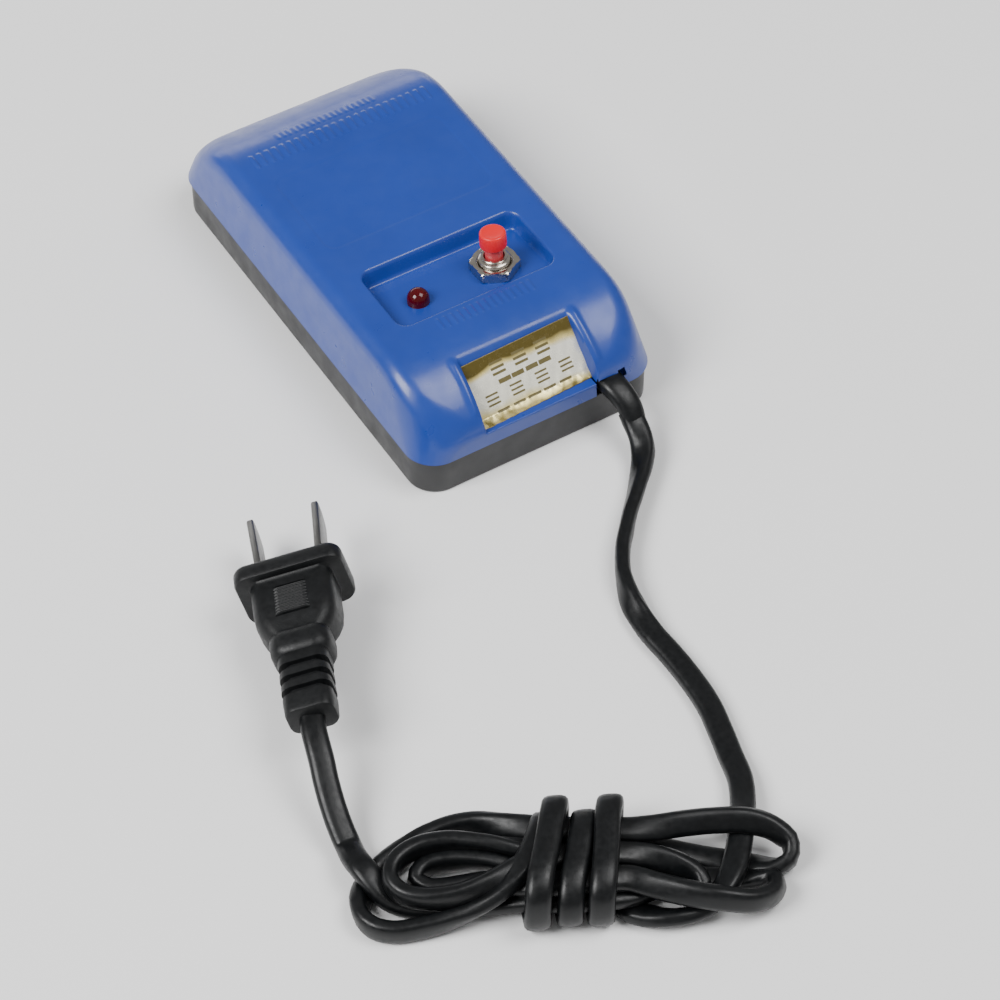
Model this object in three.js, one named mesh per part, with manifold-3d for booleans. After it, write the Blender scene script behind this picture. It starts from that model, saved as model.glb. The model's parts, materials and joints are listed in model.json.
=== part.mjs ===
// Watch demagnetizer: a mains coil in a two-part plastic case with a push button, a pilot lamp
// and a flat mains lead tied in a hank.
// Units are millimetres. +Z is up, +Y points to the back, the lead leaves the front right corner,
// and the origin is at the centre of the case on the surface that it stands on.
import * as THREE from 'three';
import { mergeVertices } from 'three/addons/utils/BufferGeometryUtils.js';
import Module from 'manifold-3d';

const wasm = await Module();
wasm.setup();

const DEG = Math.PI / 180;

// Clearances
const GAP = 0.3; // between neighbouring pieces
const CUT = 1; // how far a cutter runs past the face that it cuts

// Case
const CASE_WIDTH = 60;
const CASE_LENGTH = 110.4;
const CORNER_RADIUS = 7.2;
const COVER_TOP = 25.7;
const COVER_WALL = 2;
const COVER_EDGE_RADIUS = 3.5;
const COVER_LEAN = 1.8; // how far each side wall leans in from the seam to the top
const CORNER_FLARE = 4.7; // how much more the corners lean in than the walls do
const SEAM_HEIGHT = 9.2;
const BASE_INSET = 0.6; // the cover stands out past the base all round
const BASE_WALL = 3;
const BASE_FLOOR = 2;
const BASE_CHAMFER = 0.4;
const TONGUE_WIDTH = 1.1;
const TONGUE_HEIGHT = 1.4;

// Side profile of the cover, as distances from its front face
const BAND_HEIGHT = 5.8; // upright front band above the seam
const CROWN_LENGTH = 21.4; // from the band to where the top is level
const BACK_ROUND_LENGTH = 23.5;
// Handles of the two curves of the side profile, as shares of each curve's length and height
const CROWN_LOWER_HANDLE = [0.21, 0.54];
const CROWN_UPPER_HANDLE = 0.53;
const BACK_UPPER_HANDLE = 0.44;
const BACK_LOWER_HANDLE = [0.056, 0.364];

// Sloped seat for the label on the front
const SEAT_WIDTH = 28.6;
const SEAT_SLOPE = 48 * DEG;
const SEAT_SETBACK = 3; // from the front face to the foot of the slope
const SEAT_FOOT_HEIGHT = 13.2;
const SEAT_LENGTH = 13;
const LABEL_WIDTH = 27.8;
const LABEL_LENGTH = 12.6;
const LABEL_THICKNESS = 0.4;

// Sunk well for the switch and the lamp; its floor rises towards the front
const WELL_WIDTH = 42;
const WELL_LENGTH = 19;
const WELL_SETBACK = 25.6; // from the front face to the front rim of the well
const WELL_DEPTH = 4.3; // at the back rim
const WELL_TILT = 6 * DEG;
const WELL_RADIUS = 3;
const WELL_SLOPE = 1.4; // how far the walls lean out from the floor to the rim
const WELL_FLOOR = 2;
const CONTROL_Y = -1.8; // of the switch and the lamp, from the middle of the well

// Push switch
const SWITCH_X = 8.3;
const BUSHING_RADIUS = 3.5;
const BUSHING_LIP_RADIUS = 2.95;
const BUSHING_LIP_HEIGHT = 0.6;
const BUSHING_FLANGE_RADIUS = 4.7;
const BUSHING_FLANGE_HEIGHT = 1.2;
const BUSHING_RISE = 3.9; // above the well floor
const NUT_FLATS = 10;
const NUT_HEIGHT = 2.3;
const SWITCH_BODY_RADIUS = 5.2;
const SWITCH_BODY_HEIGHT = 10;
const SWITCH_BODY_WALL = 1;
const BUTTON_TRAVEL = 2.5;
const STEM_BELOW_FLANGE = 2.5;
const STEM_RADIUS = 2;
const CAP_RADIUS = 3;
const CAP_HEIGHT = 3.6;
const CAP_RISE = 6.7; // well floor to the underside of the cap
const CAP_SOCKET = 1.8; // how far the stem enters the cap
const BRIDGE_RADIUS = 3.6;
const BRIDGE_THICKNESS = 0.6;
const TERMINAL_WIDTH = 1.6;
const TERMINAL_THICKNESS = 0.5;
const TERMINAL_SPREAD = 2.6;
const TERMINAL_LENGTH = 3; // below the switch body
const SPRING_RADIUS = 1.2;
const SPRING_WIRE_RADIUS = 0.2;
const SPRING_TURNS = 5;

// Pilot lamp
const LED_X = -11;
const LED_RADIUS = 2.5;
const LED_RISE = 0.9; // straight part above the well floor
const LED_FLANGE_RADIUS = 2.9;
const LED_FLANGE_HEIGHT = 1;
const LED_LEG_SIZE = 0.5;
const LED_LEG_SPREAD = 1.27;
const LED_LEG_SPLAY = 2.3;
const LED_LEG_LENGTH = 4;
const RESISTOR_RADIUS = 1.2;
const DIODE_RADIUS = 1.35;
const COMPONENT_LENGTH = 6;
const COMPONENT_LEAD = 1.2;
const COMPONENT_LEAD_RADIUS = 0.3;
const WIRE_RADIUS = 0.7;
const WIRE_HEIGHT = 3.4; // of the wires that lie on the tray floor
const WIRE_LANDING = 0.25; // last part of a wire's way down, where it turns level

// Magnet: a laminated bar with two upright pole pieces, and a coil on a bobbin
const CORE_WIDTH = 14;
const CORE_HEIGHT = 6;
const CORE_LENGTH = 46;
const CORE_CENTRE_Y = 18;
const POLE_LENGTH = 6;
const POLE_TOP_CLEARANCE = 0.8; // under the cover
const BOBBIN_WALL = 1.2;
const BOBBIN_FLANGE = 4.3; // how far the flanges stand out from the tube
const BOBBIN_FLANGE_WIDTH = 1.2;
const WINDING_THICKNESS = 3;
const TAPE_THICKNESS = 0.4;

// Fasteners
const CASE_SCREW_X = 21;
const CASE_SCREW_FRONT_Y = -37;
const CASE_SCREW_BACK_Y = 43;
const SCREW_RADIUS = 1.45;
const SCREW_HEAD_RADIUS = 2.7;
const SCREW_HEAD_HEIGHT = 1.6;
const BOSS_RADIUS = 3.6;
const BOSS_TOP = 7;
const CORE_SCREW_RADIUS = 1.3;
const CORE_SCREW_HEAD_RADIUS = 2.4;
const CORE_BOSS_RADIUS = 3;
const SCREW_BITE = 7; // how far a case screw enters its post
const CLAMP_SCREW_RADIUS = 0.9;
const CLAMP_SCREW_HEAD_RADIUS = 1.6;
const CLAMP_BOSS_RADIUS = 2;

// Mains lead: a flat twin cord that is wider than it is thick
const CORD_WIDTH = 5.2;
const CORD_THICKNESS = 3.3;
const CORD_X = 17.3; // where it leaves the case
const RELIEF_WIDTH = 6.2;
const RELIEF_THICKNESS = 3.9;
const RELIEF_INNER_LENGTH = 13; // behind the front face
const CLAMP_LENGTH = 5;
const CLAMP_THICKNESS = 1.2;
const CLAMP_FOOT_HEIGHT = 2.6;
const CLAMP_SCREW_SPREAD = 6.5;

// Lead from the strain relief to the hank, and from the hank to the plug
const LEAD_POINTS = [
  [18.0, -63.4, 6.9], [17.5, -66.6, 5.4], [16.2, -69.9, 4.0], [13.7, -73.1, 3.2],
  [10.7, -76.3, 2.8], [7.7, -79.4, 2.7], [4.6, -82.5, 2.7], [1.8, -85.7, 2.7],
  [-1.0, -88.8, 2.7], [-3.4, -92.2, 2.7], [-5.4, -95.7, 2.7], [-7.0, -99.5, 2.7],
  [-8.0, -103.4, 2.7], [-8.4, -107.5, 2.7], [-8.5, -111.9, 2.7], [-8.2, -116.6, 2.7],
  [-8.1, -121.3, 2.7], [-8.2, -125.8, 2.7], [-8.5, -130.1, 2.7], [-9.1, -134.2, 2.7],
  [-10.1, -138.1, 2.7], [-11.1, -141.9, 2.7], [-12.2, -145.6, 2.7],
];
const TAIL_POINTS = [
  [-83.7, -104.4, 12.6], [-84.6, -107.4, 11.9], [-85.4, -110.3, 10.9], [-86.5, -113.8, 9.2],
  [-87.4, -117.4, 7.4], [-88.1, -120.9, 5.8], [-88.5, -124, 4.4], [-88.7, -126.2, 3.6],
];

// Hank: a tied bundle of folded lead
const HANK_LENGTH = 88;
const HANK_WIDTH = 25;
const HANK_HEIGHT = 14.5;
const HANK_CENTRE = [-54.1, -154.7];
const HANK_TURN = -25 * DEG;

// Mains plug
const PLUG_CENTRE = [-67.2, -66.4, 10.8]; // middle of the blade face
const PLUG_HEADING = -23.4 * DEG;
const PLUG_PITCH = -3.6 * DEG;
const PLUG_ROLL = 14.4 * DEG;
const FLANGE_WIDTH = 23;
const FLANGE_HEIGHT = 14.8;
const FLANGE_THICKNESS = 4;
const GRIP_WIDTH = 17.4;
const GRIP_HEIGHT = 11;
const GRIP_LENGTH = 14;
const COLLAR_WIDTH = 12.5;
const COLLAR_HEIGHT = 10;
const COLLAR_LENGTH = 6;
const NECK_WIDTH = 10.2;
const NECK_HEIGHT = 7.6;
const NECK_LENGTH = 15;
const BLADE_SPACING = 12.7;
const BLADE_WIDTH = 6.35;
const BLADE_THICKNESS = 1.5;
const BLADE_LENGTH = 15.9;

// Derived places
const FRONT = -CASE_LENGTH / 2;
const BACK = CASE_LENGTH / 2;
const CORD_HEIGHT = SEAM_HEIGHT + GAP / 2 + GAP + RELIEF_THICKNESS / 2;
const NUT_CORNER_RADIUS = NUT_FLATS / 2 / Math.cos(30 * DEG);
const WELL_CENTRE_Y = FRONT + WELL_SETBACK + WELL_LENGTH / 2;
const WELL_CENTRE_DEPTH = WELL_DEPTH - (WELL_LENGTH / 2) * Math.tan(WELL_TILT);
const SEAT_REACH = (COVER_TOP - SEAT_FOOT_HEIGHT) / Math.sin(SEAT_SLOPE); // up to the cover's top
const BOBBIN_BOTTOM = BASE_FLOOR + GAP;
const CORE_BOTTOM = BOBBIN_BOTTOM + BOBBIN_FLANGE + BOBBIN_WALL + GAP;
const CORE_TOP = CORE_BOTTOM + CORE_HEIGHT;
const CORE_MIDDLE = CORE_BOTTOM + CORE_HEIGHT / 2;
const BOBBIN_LENGTH = CORE_LENGTH - 2 * (POLE_LENGTH + GAP);
const FLANGE_TOP = -WELL_FLOOR - GAP; // of the bushing and the lamp, in the well's frame
const BUSHING_BOTTOM = FLANGE_TOP - BUSHING_FLANGE_HEIGHT;
const SWITCH_TOP = BUSHING_BOTTOM - GAP;
const SWITCH_BOTTOM = SWITCH_TOP - SWITCH_BODY_HEIGHT;
const STEM_BOTTOM = BUSHING_BOTTOM - STEM_BELOW_FLANGE;
const BRIDGE_BOTTOM = STEM_BOTTOM - GAP - BRIDGE_THICKNESS;
const CONTACT_TOP = BRIDGE_BOTTOM - BUTTON_TRAVEL - GAP;
const BASE_TOP = SEAM_HEIGHT - GAP / 2;
const COVER_BOTTOM = SEAM_HEIGHT + GAP / 2;
const BASE_WIDTH = CASE_WIDTH - 2 * BASE_INSET;
const BASE_LENGTH = CASE_LENGTH - 2 * BASE_INSET;
const CLAMP_Y = FRONT + RELIEF_INNER_LENGTH - CLAMP_LENGTH / 2;
const CLAMP_BOTTOM = CORD_HEIGHT - RELIEF_THICKNESS / 2 - GAP;
const CASE_SCREW_PLACES = [
  ['front_left', -CASE_SCREW_X, CASE_SCREW_FRONT_Y],
  ['front_right', CASE_SCREW_X, CASE_SCREW_FRONT_Y],
  ['back_left', -CASE_SCREW_X, CASE_SCREW_BACK_Y],
  ['back_right', CASE_SCREW_X, CASE_SCREW_BACK_Y],
];
const CORE_SCREW_PLACES = [
  ['front', CORE_CENTRE_Y - (CORE_LENGTH - POLE_LENGTH) / 2],
  ['back', CORE_CENTRE_Y + (CORE_LENGTH - POLE_LENGTH) / 2],
];

// Materials
const plastic = (color, roughness) => new THREE.MeshStandardMaterial({ color, roughness, metalness: 0 });
const metal = (color, roughness) => new THREE.MeshStandardMaterial({ color, roughness, metalness: 1 });
const BLUE_PLASTIC = plastic(0x1f4fae, 0.42);
const BLACK_PLASTIC = plastic(0x2b2c2e, 0.5);
const RED_PLASTIC = plastic(0xe0242c, 0.3);
const RED_LENS = plastic(0x7a0410, 0.08);
const PHENOLIC = plastic(0x2a1a10, 0.5);
const BOBBIN_NYLON = plastic(0xd9d2bd, 0.5);
const TAPE_YELLOW = plastic(0xd8b838, 0.45);
const RESISTOR_PAINT = plastic(0xc9a877, 0.45);
const CORD_PVC = plastic(0x17181a, 0.4);
const WIRE_RED = plastic(0xb01818, 0.45);
const WIRE_BLUE = plastic(0x1a3fa0, 0.45);
const NICKEL = metal(0xc4bcae, 0.22);
const GOLD_FOIL = metal(0xd9bd5a, 0.25);
const BRASS = metal(0xb99a4a, 0.35);
const SPRING_STEEL = metal(0x9c9c9c, 0.35);
const CORE_STEEL = metal(0x55565a, 0.5);
const COPPER = metal(0xb4602c, 0.35);

// ---- geometry helpers ------------------------------------------------------------------------

function toSolid(geometry) {
  const bare = geometry.clone();
  bare.deleteAttribute('normal');
  bare.deleteAttribute('uv');
  const merged = mergeVertices(bare, 1e-4);
  return new wasm.Manifold(new wasm.Mesh({
    numProp: 3,
    vertProperties: new Float32Array(merged.attributes.position.array),
    triVerts: new Uint32Array(merged.index.array),
  }));
}

function toGeometry(solid) {
  const { vertProperties, triVerts } = solid.getMesh();
  const geometry = new THREE.BufferGeometry();
  geometry.setAttribute('position', new THREE.BufferAttribute(new Float32Array(vertProperties), 3));
  geometry.setIndex(new THREE.BufferAttribute(new Uint32Array(triVerts), 1));
  geometry.computeVertexNormals();
  return geometry;
}

const join = (first, ...others) => others.reduce((sum, other) => sum.add(other), first);
const cut = (first, ...others) => others.reduce((rest, other) => rest.subtract(other), first);

function piece(name, shape, material) {
  const geometry = shape.isBufferGeometry ? shape : toGeometry(shape);
  const mesh = new THREE.Mesh(geometry, material);
  mesh.name = name;
  return mesh;
}

function roundedRect(width, length, radius) {
  const x = width / 2;
  const y = length / 2;
  const shape = new THREE.Shape();
  shape.moveTo(-x + radius, -y);
  shape.lineTo(x - radius, -y);
  shape.absarc(x - radius, -y + radius, radius, -Math.PI / 2, 0);
  shape.lineTo(x, y - radius);
  shape.absarc(x - radius, y - radius, radius, 0, Math.PI / 2);
  shape.lineTo(-x + radius, y);
  shape.absarc(-x + radius, y - radius, radius, Math.PI / 2, Math.PI);
  shape.lineTo(-x, -y + radius);
  shape.absarc(-x + radius, -y + radius, radius, Math.PI, 1.5 * Math.PI);
  return shape;
}

function polygon(points) {
  return new THREE.Shape(points.map(([x, y]) => new THREE.Vector2(x, y)));
}

// A straight-walled solid of the shape, from height bottom to height top
function prism(shape, bottom, top, curveSegments = 6) {
  const depth = top - bottom;
  const geometry = new THREE.ExtrudeGeometry(shape, { depth, bevelEnabled: false, curveSegments });
  return geometry.translate(0, 0, bottom);
}

const slab = (shape, bottom, top, curveSegments) => toSolid(prism(shape, bottom, top, curveSegments));

const block = (width, length, height, x, y, bottom) =>
  toSolid(new THREE.BoxGeometry(width, length, height).translate(x, y, bottom + height / 2));

// A solid of revolution about +Z from [radius, height] pairs that start and end on the axis
function turned(profile, segments = 24) {
  const points = profile.map(([radius, height]) => new THREE.Vector2(radius, height));
  return new THREE.LatheGeometry(points, segments).rotateX(Math.PI / 2);
}

const rod = (radius, bottom, top, x = 0, y = 0, segments = 20) =>
  toSolid(turned([[0, bottom], [radius, bottom], [radius, top], [0, top]], segments).translate(x, y, 0));

// A shape drawn in the Y-Z plane, carried along X about the middle of the part
function alongX(shape, width, options = {}) {
  const geometry = new THREE.ExtrudeGeometry(shape, { depth: width, bevelEnabled: false, ...options });
  geometry.translate(0, 0, -width / 2);
  const basis = new THREE.Matrix4().makeBasis(
    new THREE.Vector3(0, 1, 0), new THREE.Vector3(0, 0, 1), new THREE.Vector3(1, 0, 0));
  return toSolid(geometry.applyMatrix4(basis));
}

function ovalShape(width, height, sides = 10) {
  const points = [];
  for (let i = 0; i < sides; i += 1) {
    const angle = (2 * Math.PI * (i + 0.5)) / sides;
    points.push([(width / 2) * Math.cos(angle), (height / 2) * Math.sin(angle)]);
  }
  return polygon(points);
}

function tube(points, width, height, steps, sides = 10) {
  const path = new THREE.CatmullRomCurve3(points.map((point) => new THREE.Vector3(...point)));
  return new THREE.ExtrudeGeometry(ovalShape(width, height, sides), { steps, extrudePath: path });
}

// ---- case ------------------------------------------------------------------------------------

// Side profile of the cover, drawn inset by the given amount
function coverProfile(inset) {
  const front = FRONT + inset;
  const back = BACK - inset;
  const top = COVER_TOP - inset;
  const bandTop = SEAM_HEIGHT + BAND_HEIGHT - inset / 2;
  const crownEnd = FRONT + CROWN_LENGTH;
  const roundStart = BACK - BACK_ROUND_LENGTH;
  const profile = new THREE.Shape();
  profile.moveTo(front, 0);
  profile.lineTo(front, bandTop);
  profile.bezierCurveTo(
    front + CROWN_LOWER_HANDLE[0] * CROWN_LENGTH, bandTop + CROWN_LOWER_HANDLE[1] * (top - bandTop),
    front + CROWN_UPPER_HANDLE * CROWN_LENGTH, top, crownEnd, top);
  profile.lineTo(roundStart, top);
  profile.bezierCurveTo(
    roundStart + BACK_UPPER_HANDLE * (back - roundStart), top,
    back - BACK_LOWER_HANDLE[0] * BACK_ROUND_LENGTH,
    SEAM_HEIGHT + BACK_LOWER_HANDLE[1] * (top - SEAM_HEIGHT), back, SEAM_HEIGHT);
  profile.lineTo(back, 0);
  return profile;
}

// An upright prism of the cover's plan, or one that is wider and rounder and leans in with height
function coverPlan(inset, flare) {
  const margin = 2 * (flare - inset);
  const radius = CORNER_RADIUS - inset + flare / (1 - Math.SQRT1_2);
  const outline = roundedRect(CASE_WIDTH + margin, CASE_LENGTH + margin, radius);
  return toSolid(new THREE.ExtrudeGeometry(outline, {
    depth: SEAM_HEIGHT, bevelEnabled: true, bevelThickness: COVER_TOP - SEAM_HEIGHT, bevelSize: flare,
    bevelOffset: -flare, bevelSegments: 1, curveSegments: 8,
  }));
}

// Brings both side walls in with height
function leanIn(solid) {
  const geometry = toGeometry(solid);
  const position = geometry.attributes.position;
  for (let i = 0; i < position.count; i += 1) {
    const rise = (position.getZ(i) - SEAM_HEIGHT) / (COVER_TOP - SEAM_HEIGHT);
    position.setX(i, position.getX(i) * (1 - (2 * COVER_LEAN * rise) / CASE_WIDTH));
  }
  return toSolid(geometry);
}

// The cover's outside, or its inside when inset by the wall
function coverSolid(inset) {
  const edge = Math.max(COVER_EDGE_RADIUS - inset, 0.5);
  const loaf = alongX(coverProfile(inset), CASE_WIDTH - 2 * inset - 2 * edge, {
    bevelEnabled: true, bevelThickness: edge, bevelSize: edge, bevelOffset: -edge,
    bevelSegments: 4, curveSegments: 10,
  });
  return leanIn(loaf.intersect(coverPlan(inset, 0)).intersect(coverPlan(inset, CORNER_FLARE)));
}

// Height of the cover's inside at a place along its length
function insideTop(y) {
  const outline = coverProfile(COVER_WALL).getPoints(24);
  const end = outline.findIndex((point) => point.y > SEAM_HEIGHT + COVER_WALL && point.x > y);
  const [before, after] = [outline[end - 1], outline[end]];
  return before.y + ((after.y - before.y) * (y - before.x)) / (after.x - before.x);
}

// Moves a solid from the well's own frame, whose origin is the middle of its floor, to the case
function wellMatrix() {
  const turn = new THREE.Matrix4().makeRotationX(-WELL_TILT);
  return turn.setPosition(0, WELL_CENTRE_Y, COVER_TOP - WELL_CENTRE_DEPTH);
}

// Opening of the well, wider at its rim than at its floor
function wellCutter() {
  const height = WELL_DEPTH + CUT;
  const lean = WELL_SLOPE * (height / WELL_DEPTH);
  const geometry = new THREE.ExtrudeGeometry(roundedRect(WELL_WIDTH, WELL_LENGTH, WELL_RADIUS), {
    depth: GAP, bevelEnabled: true, bevelThickness: height, bevelSize: lean, bevelOffset: -WELL_SLOPE,
    bevelSegments: 1, curveSegments: 4,
  });
  const lower = slab(roundedRect(2 * WELL_WIDTH, 3 * WELL_LENGTH, 1), 0, height);
  return toSolid(geometry.translate(0, 0, height)).intersect(lower);
}

const inWell = (solid) => solid.transform(wellMatrix().elements);

// Slope that the label lies on, as the solid that is cut away above it or the one that backs it
function seatSolid(width, below) {
  const foot = [FRONT + SEAT_SETBACK, SEAT_FOOT_HEIGHT];
  const along = [Math.cos(SEAT_SLOPE), Math.sin(SEAT_SLOPE)];
  const down = [Math.sin(SEAT_SLOPE) * below, -Math.cos(SEAT_SLOPE) * below];
  const head = [foot[0] + along[0] * SEAT_REACH, foot[1] + along[1] * SEAT_REACH];
  if (below > 0) {
    return alongX(polygon([
      foot, [foot[0] + down[0], foot[1] + down[1]], [head[0] + down[0], head[1] + down[1]], head]), width);
  }
  return alongX(polygon([
    foot, head, [FRONT - CUT, head[1]], [FRONT - CUT, foot[1]]]), width);
}

function topCover() {
  const bound = block(2 * CASE_WIDTH, 2 * CASE_LENGTH, COVER_TOP, 0, 0, COVER_BOTTOM);
  const outside = coverSolid(0).intersect(bound);
  const trayPlan = roundedRect(
    WELL_WIDTH + 2 * COVER_WALL, WELL_LENGTH + 2 * COVER_WALL, WELL_RADIUS + COVER_WALL);
  const tray = inWell(slab(trayPlan, -WELL_FLOOR, WELL_DEPTH));
  const seatBacking = seatSolid(SEAT_WIDTH + 2 * COVER_WALL, COVER_WALL);
  const posts = CASE_SCREW_PLACES.map(([, x, y]) => rod(BOSS_RADIUS, BOSS_TOP + GAP, COVER_TOP, x, y));
  const added = join(tray, seatBacking, ...posts).intersect(coverSolid(COVER_WALL / 2));
  const shell = join(cut(outside, coverSolid(COVER_WALL)), added);
  const screwHoles = CASE_SCREW_PLACES.map(([, x, y]) =>
    rod(SCREW_RADIUS + GAP, BOSS_TOP, BOSS_TOP + SCREW_BITE + GAP, x, y));
  const notchHeight = CORD_HEIGHT + RELIEF_THICKNESS / 2 + GAP - SEAM_HEIGHT + CUT;
  return cut(
    shell,
    inWell(wellCutter()),
    seatSolid(SEAT_WIDTH, 0),
    inWell(rod(BUSHING_RADIUS + GAP, -WELL_FLOOR - CUT, CUT, SWITCH_X, CONTROL_Y, 32)),
    inWell(rod(LED_RADIUS + GAP, -WELL_FLOOR - CUT, CUT, LED_X, CONTROL_Y, 32)),
    block(RELIEF_WIDTH + 2 * GAP, 4 * (COVER_WALL + CUT), notchHeight, CORD_X, FRONT, SEAM_HEIGHT - CUT),
    ...screwHoles,
  );
}

function baseTray() {
  const plan = (inset) => roundedRect(
    BASE_WIDTH - 2 * inset, BASE_LENGTH - 2 * inset, CORNER_RADIUS - BASE_INSET - inset);
  const body = toSolid(new THREE.ExtrudeGeometry(plan(0), {
    depth: 2 * BASE_TOP, bevelEnabled: true, bevelThickness: BASE_CHAMFER, bevelSize: BASE_CHAMFER,
    bevelOffset: -BASE_CHAMFER, bevelSegments: 2, curveSegments: 8,
  }).translate(0, 0, BASE_CHAMFER));
  const outside = body.intersect(slab(roundedRect(2 * CASE_WIDTH, 2 * CASE_LENGTH, 1), -CUT, BASE_TOP));
  const tongue = slab(plan(BASE_WALL - TONGUE_WIDTH), BASE_TOP - CUT, BASE_TOP + TONGUE_HEIGHT, 8);
  const hollow = slab(plan(BASE_WALL), BASE_FLOOR, BASE_TOP + TONGUE_HEIGHT + CUT, 8);
  const bosses = CASE_SCREW_PLACES.map(([, x, y]) => rod(BOSS_RADIUS, BASE_FLOOR / 2, BOSS_TOP, x, y));
  const coreBosses = CORE_SCREW_PLACES.map(([, y]) =>
    rod(CORE_BOSS_RADIUS, BASE_FLOOR / 2, CORE_BOTTOM - GAP, 0, y));
  const clampBosses = [-1, 1].map((side) =>
    rod(CLAMP_BOSS_RADIUS, BASE_FLOOR / 2, CLAMP_BOTTOM - GAP, CORD_X + side * CLAMP_SCREW_SPREAD, CLAMP_Y));
  const holes = [];
  for (const [, x, y] of CASE_SCREW_PLACES) {
    holes.push(rod(SCREW_HEAD_RADIUS + GAP, -CUT, SCREW_HEAD_HEIGHT + 2 * GAP, x, y));
    holes.push(rod(SCREW_RADIUS + GAP, -CUT, BOSS_TOP + CUT, x, y));
  }
  for (const [, y] of CORE_SCREW_PLACES) {
    holes.push(rod(CORE_SCREW_RADIUS + GAP, BASE_FLOOR, CORE_BOTTOM, 0, y));
  }
  for (const side of [-1, 1]) {
    const x = CORD_X + side * CLAMP_SCREW_SPREAD;
    holes.push(rod(CLAMP_SCREW_RADIUS + GAP, BASE_FLOOR, CLAMP_BOTTOM, x, CLAMP_Y, 12));
  }
  holes.push(block(RELIEF_WIDTH + 2 * GAP, 4 * BASE_WALL, 2 * TONGUE_HEIGHT, CORD_X, FRONT, BASE_TOP));
  return cut(join(cut(join(outside, tongue), hollow), ...bosses, ...coreBosses, ...clampBosses), ...holes);
}

// Foil label on the slope
function labelPlate() {
  const geometry = new THREE.BoxGeometry(LABEL_WIDTH, LABEL_LENGTH, LABEL_THICKNESS);
  geometry.rotateX(SEAT_SLOPE);
  const along = GAP + LABEL_LENGTH / 2 + (SEAT_LENGTH - LABEL_LENGTH) / 2;
  const off = GAP + LABEL_THICKNESS / 2;
  return geometry.translate(
    0,
    FRONT + SEAT_SETBACK + along * Math.cos(SEAT_SLOPE) - off * Math.sin(SEAT_SLOPE),
    SEAT_FOOT_HEIGHT + along * Math.sin(SEAT_SLOPE) + off * Math.cos(SEAT_SLOPE));
}

// A pan-head screw with its head's bearing face at height 0, the shank going down
function screw(radius, headRadius, headHeight, length) {
  const body = toSolid(turned([
    [0, -length], [radius * 0.5, -length], [radius, -length + radius], [radius, 0], [headRadius, 0],
    [headRadius, headHeight * 0.55], [headRadius * 0.7, headHeight], [0, headHeight]], 20));
  const slotWidth = headRadius * 0.3;
  const slotLength = headRadius * 1.2;
  return cut(
    body,
    block(slotLength, slotWidth, headHeight, 0, 0, headHeight * 0.5),
    block(slotWidth, slotLength, headHeight, 0, 0, headHeight * 0.5),
  );
}

function addCase(part) {
  part.add(piece('base_tray', baseTray(), BLACK_PLASTIC));
  part.add(piece('top_cover', topCover(), BLUE_PLASTIC));
  part.add(piece('label_plate', labelPlate(), GOLD_FOIL));
  for (const [name, x, y] of CASE_SCREW_PLACES) {
    const seat = SCREW_HEAD_HEIGHT + GAP;
    const length = BOSS_TOP + SCREW_BITE - GAP - seat;
    const shape = screw(SCREW_RADIUS, SCREW_HEAD_RADIUS, SCREW_HEAD_HEIGHT, length);
    const mesh = piece(`case_screw_${name}`, shape, NICKEL);
    mesh.position.set(x, y, seat);
    mesh.rotation.x = Math.PI;
    part.add(mesh);
  }
}

// ---- push switch and lamp, in the well's frame --------------------------------------------------

function switchBushing() {
  const shoulder = BUSHING_RISE - BUSHING_LIP_HEIGHT;
  const outside = toSolid(turned([
    [0, BUSHING_BOTTOM], [BUSHING_FLANGE_RADIUS, BUSHING_BOTTOM], [BUSHING_FLANGE_RADIUS, FLANGE_TOP],
    [BUSHING_RADIUS, FLANGE_TOP], [BUSHING_RADIUS, shoulder], [BUSHING_LIP_RADIUS, shoulder],
    [BUSHING_LIP_RADIUS, BUSHING_RISE], [0, BUSHING_RISE]], 32));
  return cut(outside, rod(STEM_RADIUS + GAP, BUSHING_BOTTOM - CUT, BUSHING_RISE + CUT, 0, 0, 32));
}

function switchNut() {
  const corners = [];
  for (let i = 0; i < 6; i += 1) {
    const angle = (i * 60 + 30) * DEG;
    corners.push([NUT_CORNER_RADIUS * Math.cos(angle), NUT_CORNER_RADIUS * Math.sin(angle)]);
  }
  const chamfer = NUT_CORNER_RADIUS - NUT_FLATS / 2;
  const rounded = toSolid(turned([
    [0, GAP], [NUT_CORNER_RADIUS, GAP], [NUT_CORNER_RADIUS, GAP + NUT_HEIGHT - chamfer / 2],
    [NUT_FLATS / 2, GAP + NUT_HEIGHT], [0, GAP + NUT_HEIGHT]], 36));
  const hexagon = slab(polygon(corners), GAP, GAP + NUT_HEIGHT);
  return cut(hexagon.intersect(rounded), rod(BUSHING_RADIUS + GAP, 0, GAP + NUT_HEIGHT + CUT, 0, 0, 32));
}

function switchBody() {
  const inner = SWITCH_BODY_RADIUS - SWITCH_BODY_WALL;
  const floor = SWITCH_BOTTOM + 1.4 * SWITCH_BODY_WALL;
  const slots = [-1, 1].map((side) => block(
    TERMINAL_WIDTH + 2 * GAP, TERMINAL_THICKNESS + 2 * GAP, 4 * SWITCH_BODY_WALL,
    side * TERMINAL_SPREAD, 0, SWITCH_BOTTOM - CUT));
  return cut(
    rod(SWITCH_BODY_RADIUS, SWITCH_BOTTOM, SWITCH_TOP, 0, 0, 28),
    rod(inner, floor, SWITCH_TOP + CUT, 0, 0, 28),
    ...slots,
  );
}

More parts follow.
